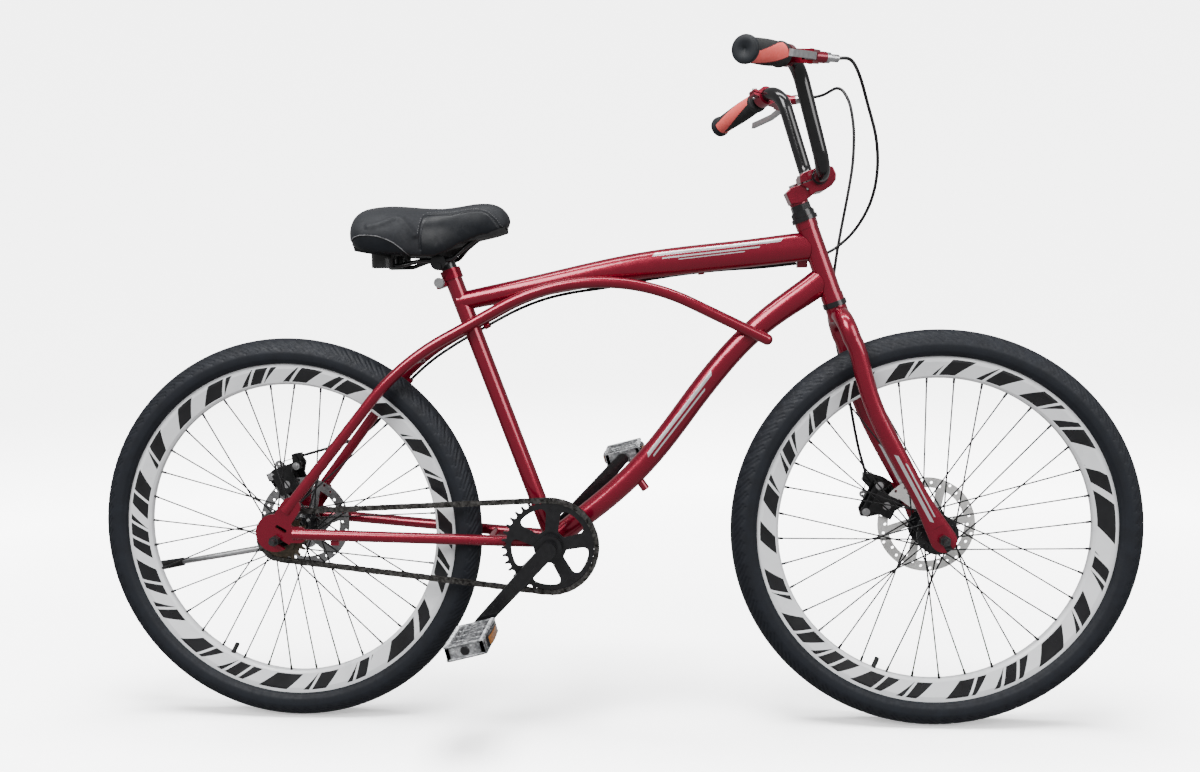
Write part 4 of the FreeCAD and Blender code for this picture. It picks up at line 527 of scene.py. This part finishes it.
PANEL = [(-0.2792, 0.7950), (-0.2785, 0.8205), (-0.2773, 0.8364), (-0.2752, 0.8484), (-0.2719, 0.8513), (-0.2568, 0.8529), (-0.2377, 0.8522), (-0.2213, 0.8555), (-0.2056, 0.8575),
         (-0.1897, 0.8570), (-0.1788, 0.8523), (-0.1682, 0.8422), (-0.1617, 0.8321), (-0.1560, 0.8275)]
EMBOSS = [(-0.3538, 0.8311), (-0.3372, 0.8335), (-0.3255, 0.8383), (-0.3180, 0.8428), (-0.3124, 0.8440), (-0.3051, 0.8417), (-0.2965, 0.8326), (-0.2901, 0.8230), (-0.2861, 0.8172)]
PIPING = [(-0.3870, 0.8105), (-0.3780, 0.8155), (-0.3673, 0.8176), (-0.3530, 0.8173), (-0.3387, 0.8154), (-0.3254, 0.8107), (-0.3146, 0.8048), (-0.3057, 0.7970), (-0.2987, 0.7897), (-0.2952, 0.7855)]


def saddle():
    xs = [-0.3953 + 0.2477 * i / 76 for i in range(77)]
    rings = [[(x, y, z) for y, z in saddle_section(x, 0.002)] for x in xs]
    cols = len(rings[0])
    verts = [p for r in rings for p in r]
    faces = grid_faces(len(rings), cols, close_rows=False)
    for k, flip in ((0, True), (len(rings) - 1, False)):
        base = k * cols
        cx = sum(v[0] for v in rings[k]) / cols
        cz = sum(v[2] for v in rings[k]) / cols
        verts.append((cx + (-0.001 if flip else 0.0012), 0.0, cz))
        ci = len(verts) - 1
        for j in range(cols):
            faces.append((base + j, base + (j + 1) % cols, ci))
    me = bpy.data.meshes.new("saddle_form")
    me.from_pydata(verts, [], faces)
    o = bpy.data.objects.new("saddle_cover", me)
    bpy.context.collection.objects.link(o)
    bm = bmesh.new()
    bm.from_mesh(me)
    bmesh.ops.recalc_face_normals(bm, faces=bm.faces)
    bm.to_mesh(me)
    bm.free()
    dg = bpy.context.evaluated_depsgraph_get

    def settle(ob):
        new = bpy.data.meshes.new_from_object(ob.evaluated_get(dg()))
        ob.modifiers.clear()
        old = ob.data
        ob.data = new
        bpy.data.meshes.remove(old)

    rm = o.modifiers.new("rm", "REMESH")
    rm.mode = "VOXEL"
    rm.voxel_size = 0.0042
    settle(o)
    sm = o.modifiers.new("sm", "SMOOTH")
    sm.factor, sm.iterations = 0.5, 4
    settle(o)
    start = [v.co.copy() for v in o.data.vertices]
    vg = o.vertex_groups.new(name="held")
    vg.add([v.index for v in o.data.vertices if v.normal.z < -0.3 or v.co.z < lerp_table(SAD, min(max(v.co.x, -0.3954), -0.1475))[2] + 0.008], 1.0, "REPLACE")
    cl = o.modifiers.new("cl", "CLOTH")
    st = cl.settings
    st.quality = 5
    st.mass = 0.3
    st.tension_stiffness = st.compression_stiffness = 25
    st.bending_stiffness = 2.0
    st.use_pressure = True
    st.uniform_pressure_force = 4.0
    st.vertex_group_mass = "held"
    st.effector_weights.gravity = 0.0
    cl.collision_settings.use_collision = False
    sc = bpy.context.scene
    for f in range(1, 21):
        sc.frame_set(f)
    settle(o)
    sc.frame_set(1)
    for v, s in zip(o.data.vertices, start):
        d = v.co - s
        if d.length > 0.004:
            v.co = s + d * (0.004 / d.length)
    sub = o.modifiers.new("sub", "SUBSURF")
    sub.levels = sub.render_levels = 2
    settle(o)
    me = o.data
    me.update()
    # seams, the raised shoulder line and the recessed lower bumper, on both sides
    panel_poly = PANEL + [(-0.145, 0.815), (-0.145, 0.770), (-0.2792, 0.770)]

    def inside(x, z, poly):
        c = False
        j = len(poly) - 1
        for i in range(len(poly)):
            xi, zi = poly[i]
            xj, zj = poly[j]
            if (zi > z) != (zj > z) and x < (xj - xi) * (z - zi) / (zj - zi) + xi:
                c = not c
            j = i
        return c
    low_poly = PIPING + [(-0.2952, 0.770), (-0.43, 0.770), (-0.43, 0.8065)]
    moved = []
    for v in me.vertices:
        x, z, n = v.co.x, v.co.z, v.normal
        d = 0.0
        if abs(n.y) > 0.12 and abs(v.co.y) > 0.010:
            if -0.30 < x < -0.15:
                d -= 0.0013 * math.exp(-(polyline_distance(x, z, PANEL) / 0.0015) ** 2)
            if -0.365 < x < -0.275:
                q = polyline_distance(x, z, EMBOSS)
                d += 0.0022 * math.exp(-(q / 0.0045) ** 2)
            if x < -0.285 and z < 0.826:
                if inside(x, z, low_poly):
                    d -= 0.0016
        moved.append((v, n * d))
    for v, d in moved:
        v.co = v.co + d
    me.update()
    me.materials.clear()
    for m in (cover_mat, panel_mat, black_matt):
        me.materials.append(m)
    idx = []
    for p in me.polygons:
        c, n = p.center, p.normal
        k = 0
        if abs(c.y) > 0.008 and abs(n.y) > 0.10 and inside(c.x, c.z, panel_poly):
            k = 1
        if n.z < -0.5:
            k = 2
        if abs(n.y) > 0.10 and inside(c.x, c.z, low_poly):
            k = 1
        idx.append(k)
    me.polygons.foreach_set("material_index", idx)
    me.polygons.foreach_set("use_smooth", [True] * len(me.polygons))
    tree = BVHTree.FromPolygons([v.co for v in me.vertices], [p.vertices[:] for p in me.polygons])
    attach(o, "seat")
    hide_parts("saddle_cushion")
    # piping cord sewn along the bumper line and fine stitches along the panel seam
    for side, tag in ((-1, "right"), (1, "left")):
        line = []
        for (ax, az), (bx, bz) in zip(PIPING, PIPING[1:]):
            for k in range(6):
                q = k / 6.0
                hit = tree.ray_cast(V((ax + (bx - ax) * q, side * 0.2, az + (bz - az) * q)), V((0, -side, 0)))
                if hit[0]:
                    line.append(hit[0] + hit[1] * 0.0002)
        tube("saddle_piping_" + tag, line, 0.0009, 8, "seat", piping_mat)
        st_v, st_f = [], []
        dense = []
        for (ax, az), (bx, bz) in zip(PANEL[1:], PANEL[2:]):
            L = math.hypot(bx - ax, bz - az)
            for k in range(max(1, int(L / 0.0036))):
                q = k * 0.0036 / L
                dense.append((ax + (bx - ax) * q, az + (bz - az) * q, (bx - ax) / L, (bz - az) / L))
        for x, z, tx, tz in dense:
            hit = tree.ray_cast(V((x - tz * 0.0032, side * 0.2, z + tx * 0.0032)), V((0, -side, 0)))
            if not hit[0]:
                continue
            c, n = hit[0], hit[1]
            tdir = V((tx, 0, tz))
            tdir = (tdir - n * tdir.dot(n)).normalized()
            s = n.cross(tdir)
            b0 = len(st_v)
            for a in range(6):
                for e, rr in ((-0.0011, 0.00022), (-0.0006, 0.00034), (0.0006, 0.00034), (0.0011, 0.00022)):
                    an = a * math.pi / 3
                    st_v.append(c + tdir * e + (n * math.cos(an) + s * math.sin(an)) * rr)
            for a in range(6):
                for e in range(3):
                    st_f.append((b0 + a * 4 + e, b0 + a * 4 + e + 1, b0 + ((a + 1) % 6) * 4 + e + 1, b0 + ((a + 1) % 6) * 4 + e))
            st_f.append(tuple(b0 + a * 4 for a in range(6)))
            st_f.append(tuple(b0 + a * 4 + 3 for a in reversed(range(6))))
        if st_v:
            add("saddle_stitches_" + tag, st_v, st_f, "seat", piping_mat)
    return o


def tube(name, pts, r, sides, body, mat, hide=()):
    """Closed round tube through points with parallel-carried frames."""
    verts, faces = [], []
    n = len(pts)
    ref = None
    for i, p in enumerate(pts):
        t = (V(pts[min(i + 1, n - 1)]) - V(pts[max(i - 1, 0)])).normalized()
        if ref is None:
            ref = t.orthogonal().normalized()
        ref = (ref - t * ref.dot(t)).normalized()
        b = t.cross(ref)
        for k in range(sides):
            a = 2 * math.pi * k / sides
            verts.append(V(p) + (ref * math.cos(a) + b * math.sin(a)) * r)
    faces = grid_faces(n, sides, close_rows=False)
    faces.append(tuple(range(sides)))
    faces.append(tuple((n - 1) * sides + k for k in reversed(range(sides))))
    return add(name, verts, faces, body, mat, hide=hide)


saddle()

# ------------------------------------------------------------------ spokes: domed head, bend at the flange, butted shank, nipple with wrench flats
def spokes(tag, c, flange_y, valve_deg):
    verts, faces = [], []

    def run(pts, sides, flats=False):
        """Closed shell along (point, radius); flats squares the section."""
        b0, ref = len(verts), None
        for i, (q, r) in enumerate(pts):
            t = (pts[min(i + 1, len(pts) - 1)][0] - pts[max(i - 1, 0)][0]).normalized()
            ref = t.orthogonal().normalized() if ref is None else (ref - t * ref.dot(t)).normalized()
            b = t.cross(ref)
            for k in range(sides):
                a = 2 * math.pi * k / sides
                rr = r * (1.0 - 0.17 * abs(math.cos(2 * a)) ** 2) if flats and 2 <= i <= len(pts) - 4 else r
                verts.append(q + (ref * math.cos(a) + b * math.sin(a)) * rr)
        faces.extend(tuple(b0 + j for j in f) for f in grid_faces(len(pts), sides, close_rows=False))
        faces.append(tuple(b0 + k for k in range(sides)))
        faces.append(tuple(b0 + (len(pts) - 1) * sides + k for k in reversed(range(sides))))

    for k in range(36):
        th = math.radians(valve_deg + 5 + k * 10)
        yf = flange_y[k % 2]
        lead = 1 if (k // 2) % 2 == 0 else -1
        ph = th + lead * math.radians(60.0)
        start = V((c.x + 0.026 * math.cos(ph), yf + lead * 0.00285, c.z + 0.026 * math.sin(ph)))
        end = V((c.x + 0.253 * math.cos(th), 0.0015 if yf > 0 else -0.0015, c.z + 0.253 * math.sin(th)))
        d = (end - start).normalized()
        up = V((0, lead, 0))
        stop = end - d * 0.011
        head = V((start.x, yf - lead * 0.0031, start.z))
        path = [(head, 0.0008), (head + up * 0.0002, 0.0016), (head + up * 0.0007, 0.0019), (head + up * 0.0012, 0.0014)]
        a, b = start - up * 0.0016, start + d * 0.0018
        for i in range(6):
            u = i / 5.0
            path.append((a * (1 - u) ** 2 + start * 2 * u * (1 - u) + b * u * u, 0.0013))
        length = (stop - start).length
        for f in (0.06, 0.10, 0.30, 0.55, 0.80, 0.94):
            path.append((start + d * length * f, 0.00125 if 0.08 < f < 0.9 else 0.0013))
        path.append((stop + d * 0.0015, 0.0013))
        run(path, 10)
        run([(stop + d * t, r) for t, r in ((0.0, 0.00145), (0.0004, 0.0018), (0.001, 0.0020), (0.002, 0.0020), (0.007, 0.0020), (0.0105, 0.0020),
                                           (0.0112, 0.0020), (0.0160, 0.0020), (0.0170, 0.0016))], 16, True)
    add(tag + "_spokes_laced", verts, faces, tag + "_wheel", spoke_steel, hide=(tag + "_spokes",))


spokes("rear", RA, (-0.024, 0.032), 241.5)
spokes("front", FA, (-0.027, 0.027), 248.3)

# ------------------------------------------------------------------ grips, made on the right bar end and mirrored
END_R, CORNER = V((0.211, -0.270, 1.031)), V((0.299, -0.098, 1.062))
G = (END_R - CORNER).normalized()
W = (V((1, 0, 0)) - G * G.x).normalized()
U = G.cross(W)


def grip(side, tag):
    prof = [(0.0, 0.0112), (0.0, 0.0165), (0.0008, 0.0176), (0.0045, 0.0180), (0.0070, 0.0176), (0.0085, 0.0162)]
    ts = [0.0085 + (0.1245 - 0.0085) * i / 110.0 for i in range(1, 110)]
    for t in ts:
        swell = 0.0156 + 0.0013 * math.sin(math.pi * (t / 0.13) ** 0.8) ** 2
        prof.append((t, swell))
    prof += [(0.1245, 0.0160), (0.1262, 0.0178), (0.1285, 0.0184), (0.1320, 0.0185), (0.1342, 0.0180), (0.1350, 0.0168), (0.1350, 0.0080), (0.1344, 0.0070), (0.1344, 0.0034), (0.1330, 0.0024)]
    sides = 96
    verts, fm = [], []
    o = END_R - G * 0.130

    def kind(t, a):
        """1 on the coloured diagonal panels, 0 on the ribbed rubber."""
        if t < 0.012 or t > 0.121:
            return 2 if t > 0.121 else 0
        th = math.degrees(a) % 360
        for c in (58 + 88 * (t / 0.13), 360 - (58 + 88 * (t / 0.13))):
            if abs((th - c + 180) % 360 - 180) < 40:
                return 1
        return 0
    for t, r in prof:
        for k in range(sides):
            a = 2 * math.pi * k / sides
            rr = r
            if 0.0095 < t < 0.1235:
                if kind(t, a) == 1:
                    rr += 0.0004
                else:
                    rr += 0.00045 * (1 if (t * 1000 % 4.2) < 2.4 else -1)
            p = o + G * t + (U * math.cos(a) + W * math.sin(a)) * rr
            verts.append((p.x, p.y * side, p.z))
    faces = grid_faces(len(prof), sides, close_rows=False)
    fm = [kind(0.5 * (prof[i][0] + prof[i + 1][0]), 2 * math.pi * (j + 0.5) / sides) for i in range(len(prof) - 1) for j in range(sides)]
    verts.append(tuple((o + G * 0.1330)[i] * (side if i == 1 else 1) for i in range(3)))
    ci = len(verts) - 1
    base = (len(prof) - 1) * sides
    for k in range(sides):
        faces.append((base + k, base + (k + 1) % sides, ci))
        fm.append(2)
    return add("grip_" + tag + "_rubber", verts, faces, "fork", [rubber, coral, cap_rubber], face_mat=fm, hide=("grip_" + tag,))


grip(1, "right")
grip(-1, "left")

# ------------------------------------------------------------------ pedals: cage with serrated edges, ribs, end caps and two reflectors
PR, PL = V((-0.2029, 0, 0.1868)), V((0.0281, 0, 0.4362))
TILT = math.radians(14.0)


class Shape:
    """Gathers several closed shells in a pedal's own frame: x fore and aft, y outward from the crank, z up."""

    def __init__(self, c, side):
        self.c, self.side, self.v, self.f, self.m = c, side, [], [], []

    def put(self, pts, faces, mat=0):
        b = len(self.v)
        ct, st = math.cos(TILT), math.sin(TILT)
        for x, y, z in pts:
            self.v.append((self.c.x + x * ct - z * st, self.side * y, self.c.z + x * st + z * ct))
        self.f += [tuple(b + i for i in q) for q in faces]
        self.m += [mat] * len(faces)

    def prism(self, outline, y0, y1, mat=0, inset=0.0008):
        """Outline in x, z run along y with softened ends."""
        n = len(outline)
        cx, cz = sum(q[0] for q in outline) / n, sum(q[1] for q in outline) / n
        hx = max(abs(q[0] - cx) for q in outline)
        hz = max(abs(q[1] - cz) for q in outline)
        rows = [(y0, inset), (y0 + inset, 0.0), (y1 - inset, 0.0), (y1, inset)]
        pts = [(cx + (x - cx) * (1 - k / hx), y, cz + (z - cz) * (1 - k / hz)) for y, k in rows for x, z in outline]
        fs = grid_faces(4, n, close_rows=False) + [tuple(range(n)), tuple(3 * n + i for i in reversed(range(n)))]
        self.put(pts, fs, mat)

    def box(self, x0, x1, y0, y1, z0, z1, r=0.0012, mat=0):
        self.prism(rounded(x0, x1, z0, z1, r), y0, y1, mat, min(r, 0.0008))


def rounded(x0, x1, z0, z1, r, k=3):
    pts = []
    for cx, cz, a0 in ((x1 - r, z1 - r, 0), (x0 + r, z1 - r, 90), (x0 + r, z0 + r, 180), (x1 - r, z0 + r, 270)):
        for i in range(k + 1):
            a = math.radians(a0 + 90.0 * i / k)
            pts.append((cx + r * math.cos(a), cz + r * math.sin(a)))
    return pts


def disc(n, r):
    return [(r * math.cos(2 * math.pi * i / n), r * math.sin(2 * math.pi * i / n)) for i in range(n)]


def pedal(tag, c, side):
    s = Shape(c, side)
    # front and rear bars with a row of teeth along both outer edges
    for sx in (-1, 1):
        a, b = sorted((sx * 0.0235, sx * 0.0312))
        s.box(a, b, 0.083, 0.178, -0.0108, 0.0108, 0.0018)
        for sz in (-1, 1):
            for i in range(21):
                y = 0.0866 + i * 0.0044
                xa, xb = sx * 0.0252, sx * 0.0326
                pts = [(xa, y - 0.0016, sz * 0.0104), (xb, y - 0.0016, sz * 0.0090), (xb, y + 0.0022, sz * 0.0090), (xa, y + 0.0022, sz * 0.0104),
                       (xa + sx * 0.0008, y + 0.0006, sz * 0.0130), (xb - sx * 0.0006, y + 0.0016, sz * 0.0124)]
                s.put(pts, [(0, 1, 2, 3), (0, 1, 5, 4), (3, 2, 5, 4), (0, 4, 3), (1, 5, 2)])
    # end plates, barrel and ribs
    s.box(-0.0305, 0.0305, 0.083, 0.0895, -0.0112, 0.0112, 0.0045)
    s.box(-0.0312, 0.0312, 0.1705, 0.178, -0.0126, 0.0126, 0.0050)
    s.prism(disc(28, 0.0098), 0.084, 0.174, 0, 0.0012)
    for y in (0.1065, 0.1285, 0.1505):
        s.box(-0.0245, 0.0245, y - 0.0014, y + 0.0014, -0.0088, 0.0088, 0.0010)
    for sx in (-1, 1):
        a, b = sorted((sx * 0.0150, sx * 0.0176))
        s.box(a, b, 0.0875, 0.172, -0.0078, 0.0078, 0.0008)
    # raised frame and dark dust cap on the outer end, collar on the inner end
    for z0, z1 in ((0.0086, 0.0116), (-0.0116, -0.0086)):
        s.box(-0.0285, 0.0285, 0.1776, 0.1792, z0, z1, 0.0010)
    s.prism(disc(28, 0.0072), 0.1762, 0.1790, 1, 0.0010)
    s.prism(disc(28, 0.0088), 0.0815, 0.0845, 1, 0.0008)
    body = "pedal_" + tag + "_body"
    add("pedal_" + tag + "_cage", s.v, s.f, body, [pedal_mat, black_parts], smooth=False, face_mat=s.m, hide=("pedal_" + tag,))
    # reflectors: dark housing with a rounded amber lens
    r = Shape(c, side)
    for sx in (-1, 1):
        for (grow, zh, x_in, bulge, mat) in ((0.0, 0.0082, 0.0306, 0.0052, 1), (-0.0022, 0.0062, 0.0322, 0.0046, 0)):
            n, rows = 25, []
            for z in (-zh, -zh * 0.9, zh * 0.9, zh):
                e = 0.0006 if abs(z) == zh else 0.0
                row = []
                for i in range(n):
                    q = -1 + 2.0 * i / (n - 1)
                    y = 0.131 + q * (0.0295 + grow - e)
                    row.append((sx * (x_in + 0.0012 + (bulge - e) * math.sqrt(max(0.0, 1 - abs(q) ** 2.6))), y, z))
                row += [(sx * x_in, 0.131 + 0.0295 + grow - e, z), (sx * x_in, 0.131 - 0.0295 - grow + e, z)]
                rows.append(row)
            k = n + 2
            fs = grid_faces(4, k, close_rows=False) + [tuple(range(k)), tuple(3 * k + i for i in reversed(range(k)))]
            r.put([p for row in rows for p in row], fs, mat)
    add("pedal_" + tag + "_reflectors", r.v, r.f, body, [amber, black_parts], smooth=False, face_mat=r.m)


pedal("right", PR, -1)
pedal("left", PL, 1)


# ------------------------------------------------------------------ rear brake cable loop, one fixed tube
def spline(pts, per):
    """Catmull-Rom points through pts, per steps to a span."""
    res = []
    n = len(pts)
    for i in range(n - 1):
        p0, p1, p2, p3 = V(pts[max(i - 1, 0)]), V(pts[i]), V(pts[i + 1]), V(pts[min(i + 2, n - 1)])
        for k in range(per):
            u = k / per
            res.append(0.5 * ((2 * p1) + (p2 - p0) * u + (2 * p0 - 5 * p1 + 4 * p2 - p3) * u * u + (3 * p1 - p0 - 3 * p2 + p3) * u ** 3))
    res.append(V(pts[-1]))
    return res


LOOP = [(0.35175, -0.13047, 1.04948), (0.3733, -0.11992, 1.04983), (0.395, -0.076, 1.0385), (0.413, -0.050, 1.002), (0.4295, -0.038, 0.950), (0.4345, -0.024, 0.900),
        (0.4275, -0.008, 0.855), (0.4075, 0.008, 0.8155), (0.380, 0.0195, 0.7885), (0.353, 0.0235, 0.7752), (0.3356, 0.0215, 0.7697)]
loop = tube("rear_cable_bend", spline(LOOP, 10), 0.0025, 16, None, cable_black, hide=("rear_cable_loop",))
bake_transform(loop)

# ------------------------------------------------------------------ floor, light, camera
fl_m, fl_t, fl_b = new_mat("floor_white")
n = noise_node(fl_t, 3.0, 3.0)
r_ = ramp(fl_t, n.outputs["Fac"], [(0.3, (0.88, 0.88, 0.885)), (0.7, (0.90, 0.90, 0.905))])
fl_t.links.new(r_.outputs["Color"], fl_b.inputs["Base Color"])
fl_b.inputs["Roughness"].default_value = 0.9
fl_b.inputs["Specular IOR Level"].default_value = 0.1
fl_b.inputs["Emission Color"].default_value = (1.0, 1.0, 1.0, 1.0)
fx, fy, fz = xyz(fl_t)
far_x = math_node(fl_t, "MAXIMUM", math_node(fl_t, "SUBTRACT", math_node(fl_t, "ABSOLUTE", fx), 0.5), 0.0)
far_y = math_node(fl_t, "ADD", fy, 0.1)
far = math_node(fl_t, "SQRT", math_node(fl_t, "ADD", math_node(fl_t, "MULTIPLY", far_x, far_x), math_node(fl_t, "MULTIPLY", far_y, far_y)))
glow = math_node(fl_t, "MINIMUM", math_node(fl_t, "POWER", math_node(fl_t, "MULTIPLY", far, 0.5), 1.6), 1.0)
fl_t.links.new(math_node(fl_t, "MULTIPLY_ADD", glow, 4.4, 0.4), fl_b.inputs["Emission Strength"])
me = bpy.data.meshes.new("floor")
# round floor that curves up into a backdrop on every side
prof = [(k * 0.75, 0.0) for k in range(1, 9)]
prof += [(6.0 + 4.0 * math.sin(q), 4.0 - 4.0 * math.cos(q)) for q in [math.radians(k * 9) for k in range(1, 11)]] + [(10.0, 22.0)]
fv, ff = [(0.0, 0.0, -0.0005)], []
for rad, z in prof:
    fv += [(rad * math.cos(math.pi * k / 48), rad * math.sin(math.pi * k / 48), z - 0.0005) for k in range(96)]
for k in range(96):
    ff.append((0, 1 + k, 1 + (k + 1) % 96))
for i in range(len(prof) - 1):
    for k in range(96):
        e, g = 1 + i * 96 + k, 1 + i * 96 + (k + 1) % 96
        ff.append((e, e + 96, g + 96, g))
me.from_pydata(fv, [], ff)
me.polygons.foreach_set("use_smooth", [True] * len(me.polygons))
floor = bpy.data.objects.new("floor", me)
me.materials.append(fl_m)
bpy.context.collection.objects.link(floor)
floor.visible_diffuse = False
floor.visible_glossy = False

world = bpy.data.worlds.new("studio")
world.use_nodes = True
world.node_tree.nodes["Background"].inputs[0].default_value = (1.0, 1.0, 1.0, 1)
world.node_tree.nodes["Background"].inputs[1].default_value = 0.36
bpy.context.scene.world = world


def area(name, loc, target, size, power, size_y=None):
    d = bpy.data.lights.new(name, "AREA")
    d.energy = power
    d.size = size
    if size_y:
        d.shape = "RECTANGLE"
        d.size_y = size_y
    o = bpy.data.objects.new(name, d)
    o.location = loc
    o.rotation_euler = (V(target) - V(loc)).to_track_quat("-Z", "Y").to_euler()
    bpy.context.collection.objects.link(o)
    return o


area("key", (-1.6, -2.6, 3.0), (0, 0, 0.4), 2.0, 175)
area("fill", (2.4, -2.2, 2.0), (0, 0, 0.5), 2.0, 70)
area("top", (0, -0.5, 3.4), (0, 0, 0.4), 3.2, 75, 0.4)
# a wide soft light for the floor alone, so that the ground stays pale and the shadow soft
wash = area("floor_wash", (0.0, -0.3, 4.0), (0.0, 0.0, 0.0), 2.2, 1000)
only = bpy.data.collections.new("floor_only")
only.objects.link(floor)
wash.light_linking.receiver_collection = only

cam_d = bpy.data.cameras.new("camera")
cam_d.sensor_width = 36
cam_d.lens = 909.56 * 36 / 1200
cam = bpy.data.objects.new("camera", cam_d)
yaw, pitch, roll = math.radians(4.199), math.radians(-5.598), math.radians(0.959)
R = Matrix.Rotation(yaw, 3, "Z") @ Matrix.Rotation(pitch, 3, "X") @ Matrix.Rotation(roll, 3, "Y")
right, fwd, up = R @ V((1, 0, 0)), R @ V((0, 1, 0)), R @ V((0, 0, 1))
cam.matrix_world = Matrix(((right.x, up.x, -fwd.x, 0.1050), (right.y, up.y, -fwd.y, -1.4903), (right.z, up.z, -fwd.z, 0.7163), (0, 0, 0, 1)))
bpy.context.collection.objects.link(cam)
bpy.context.scene.camera = cam
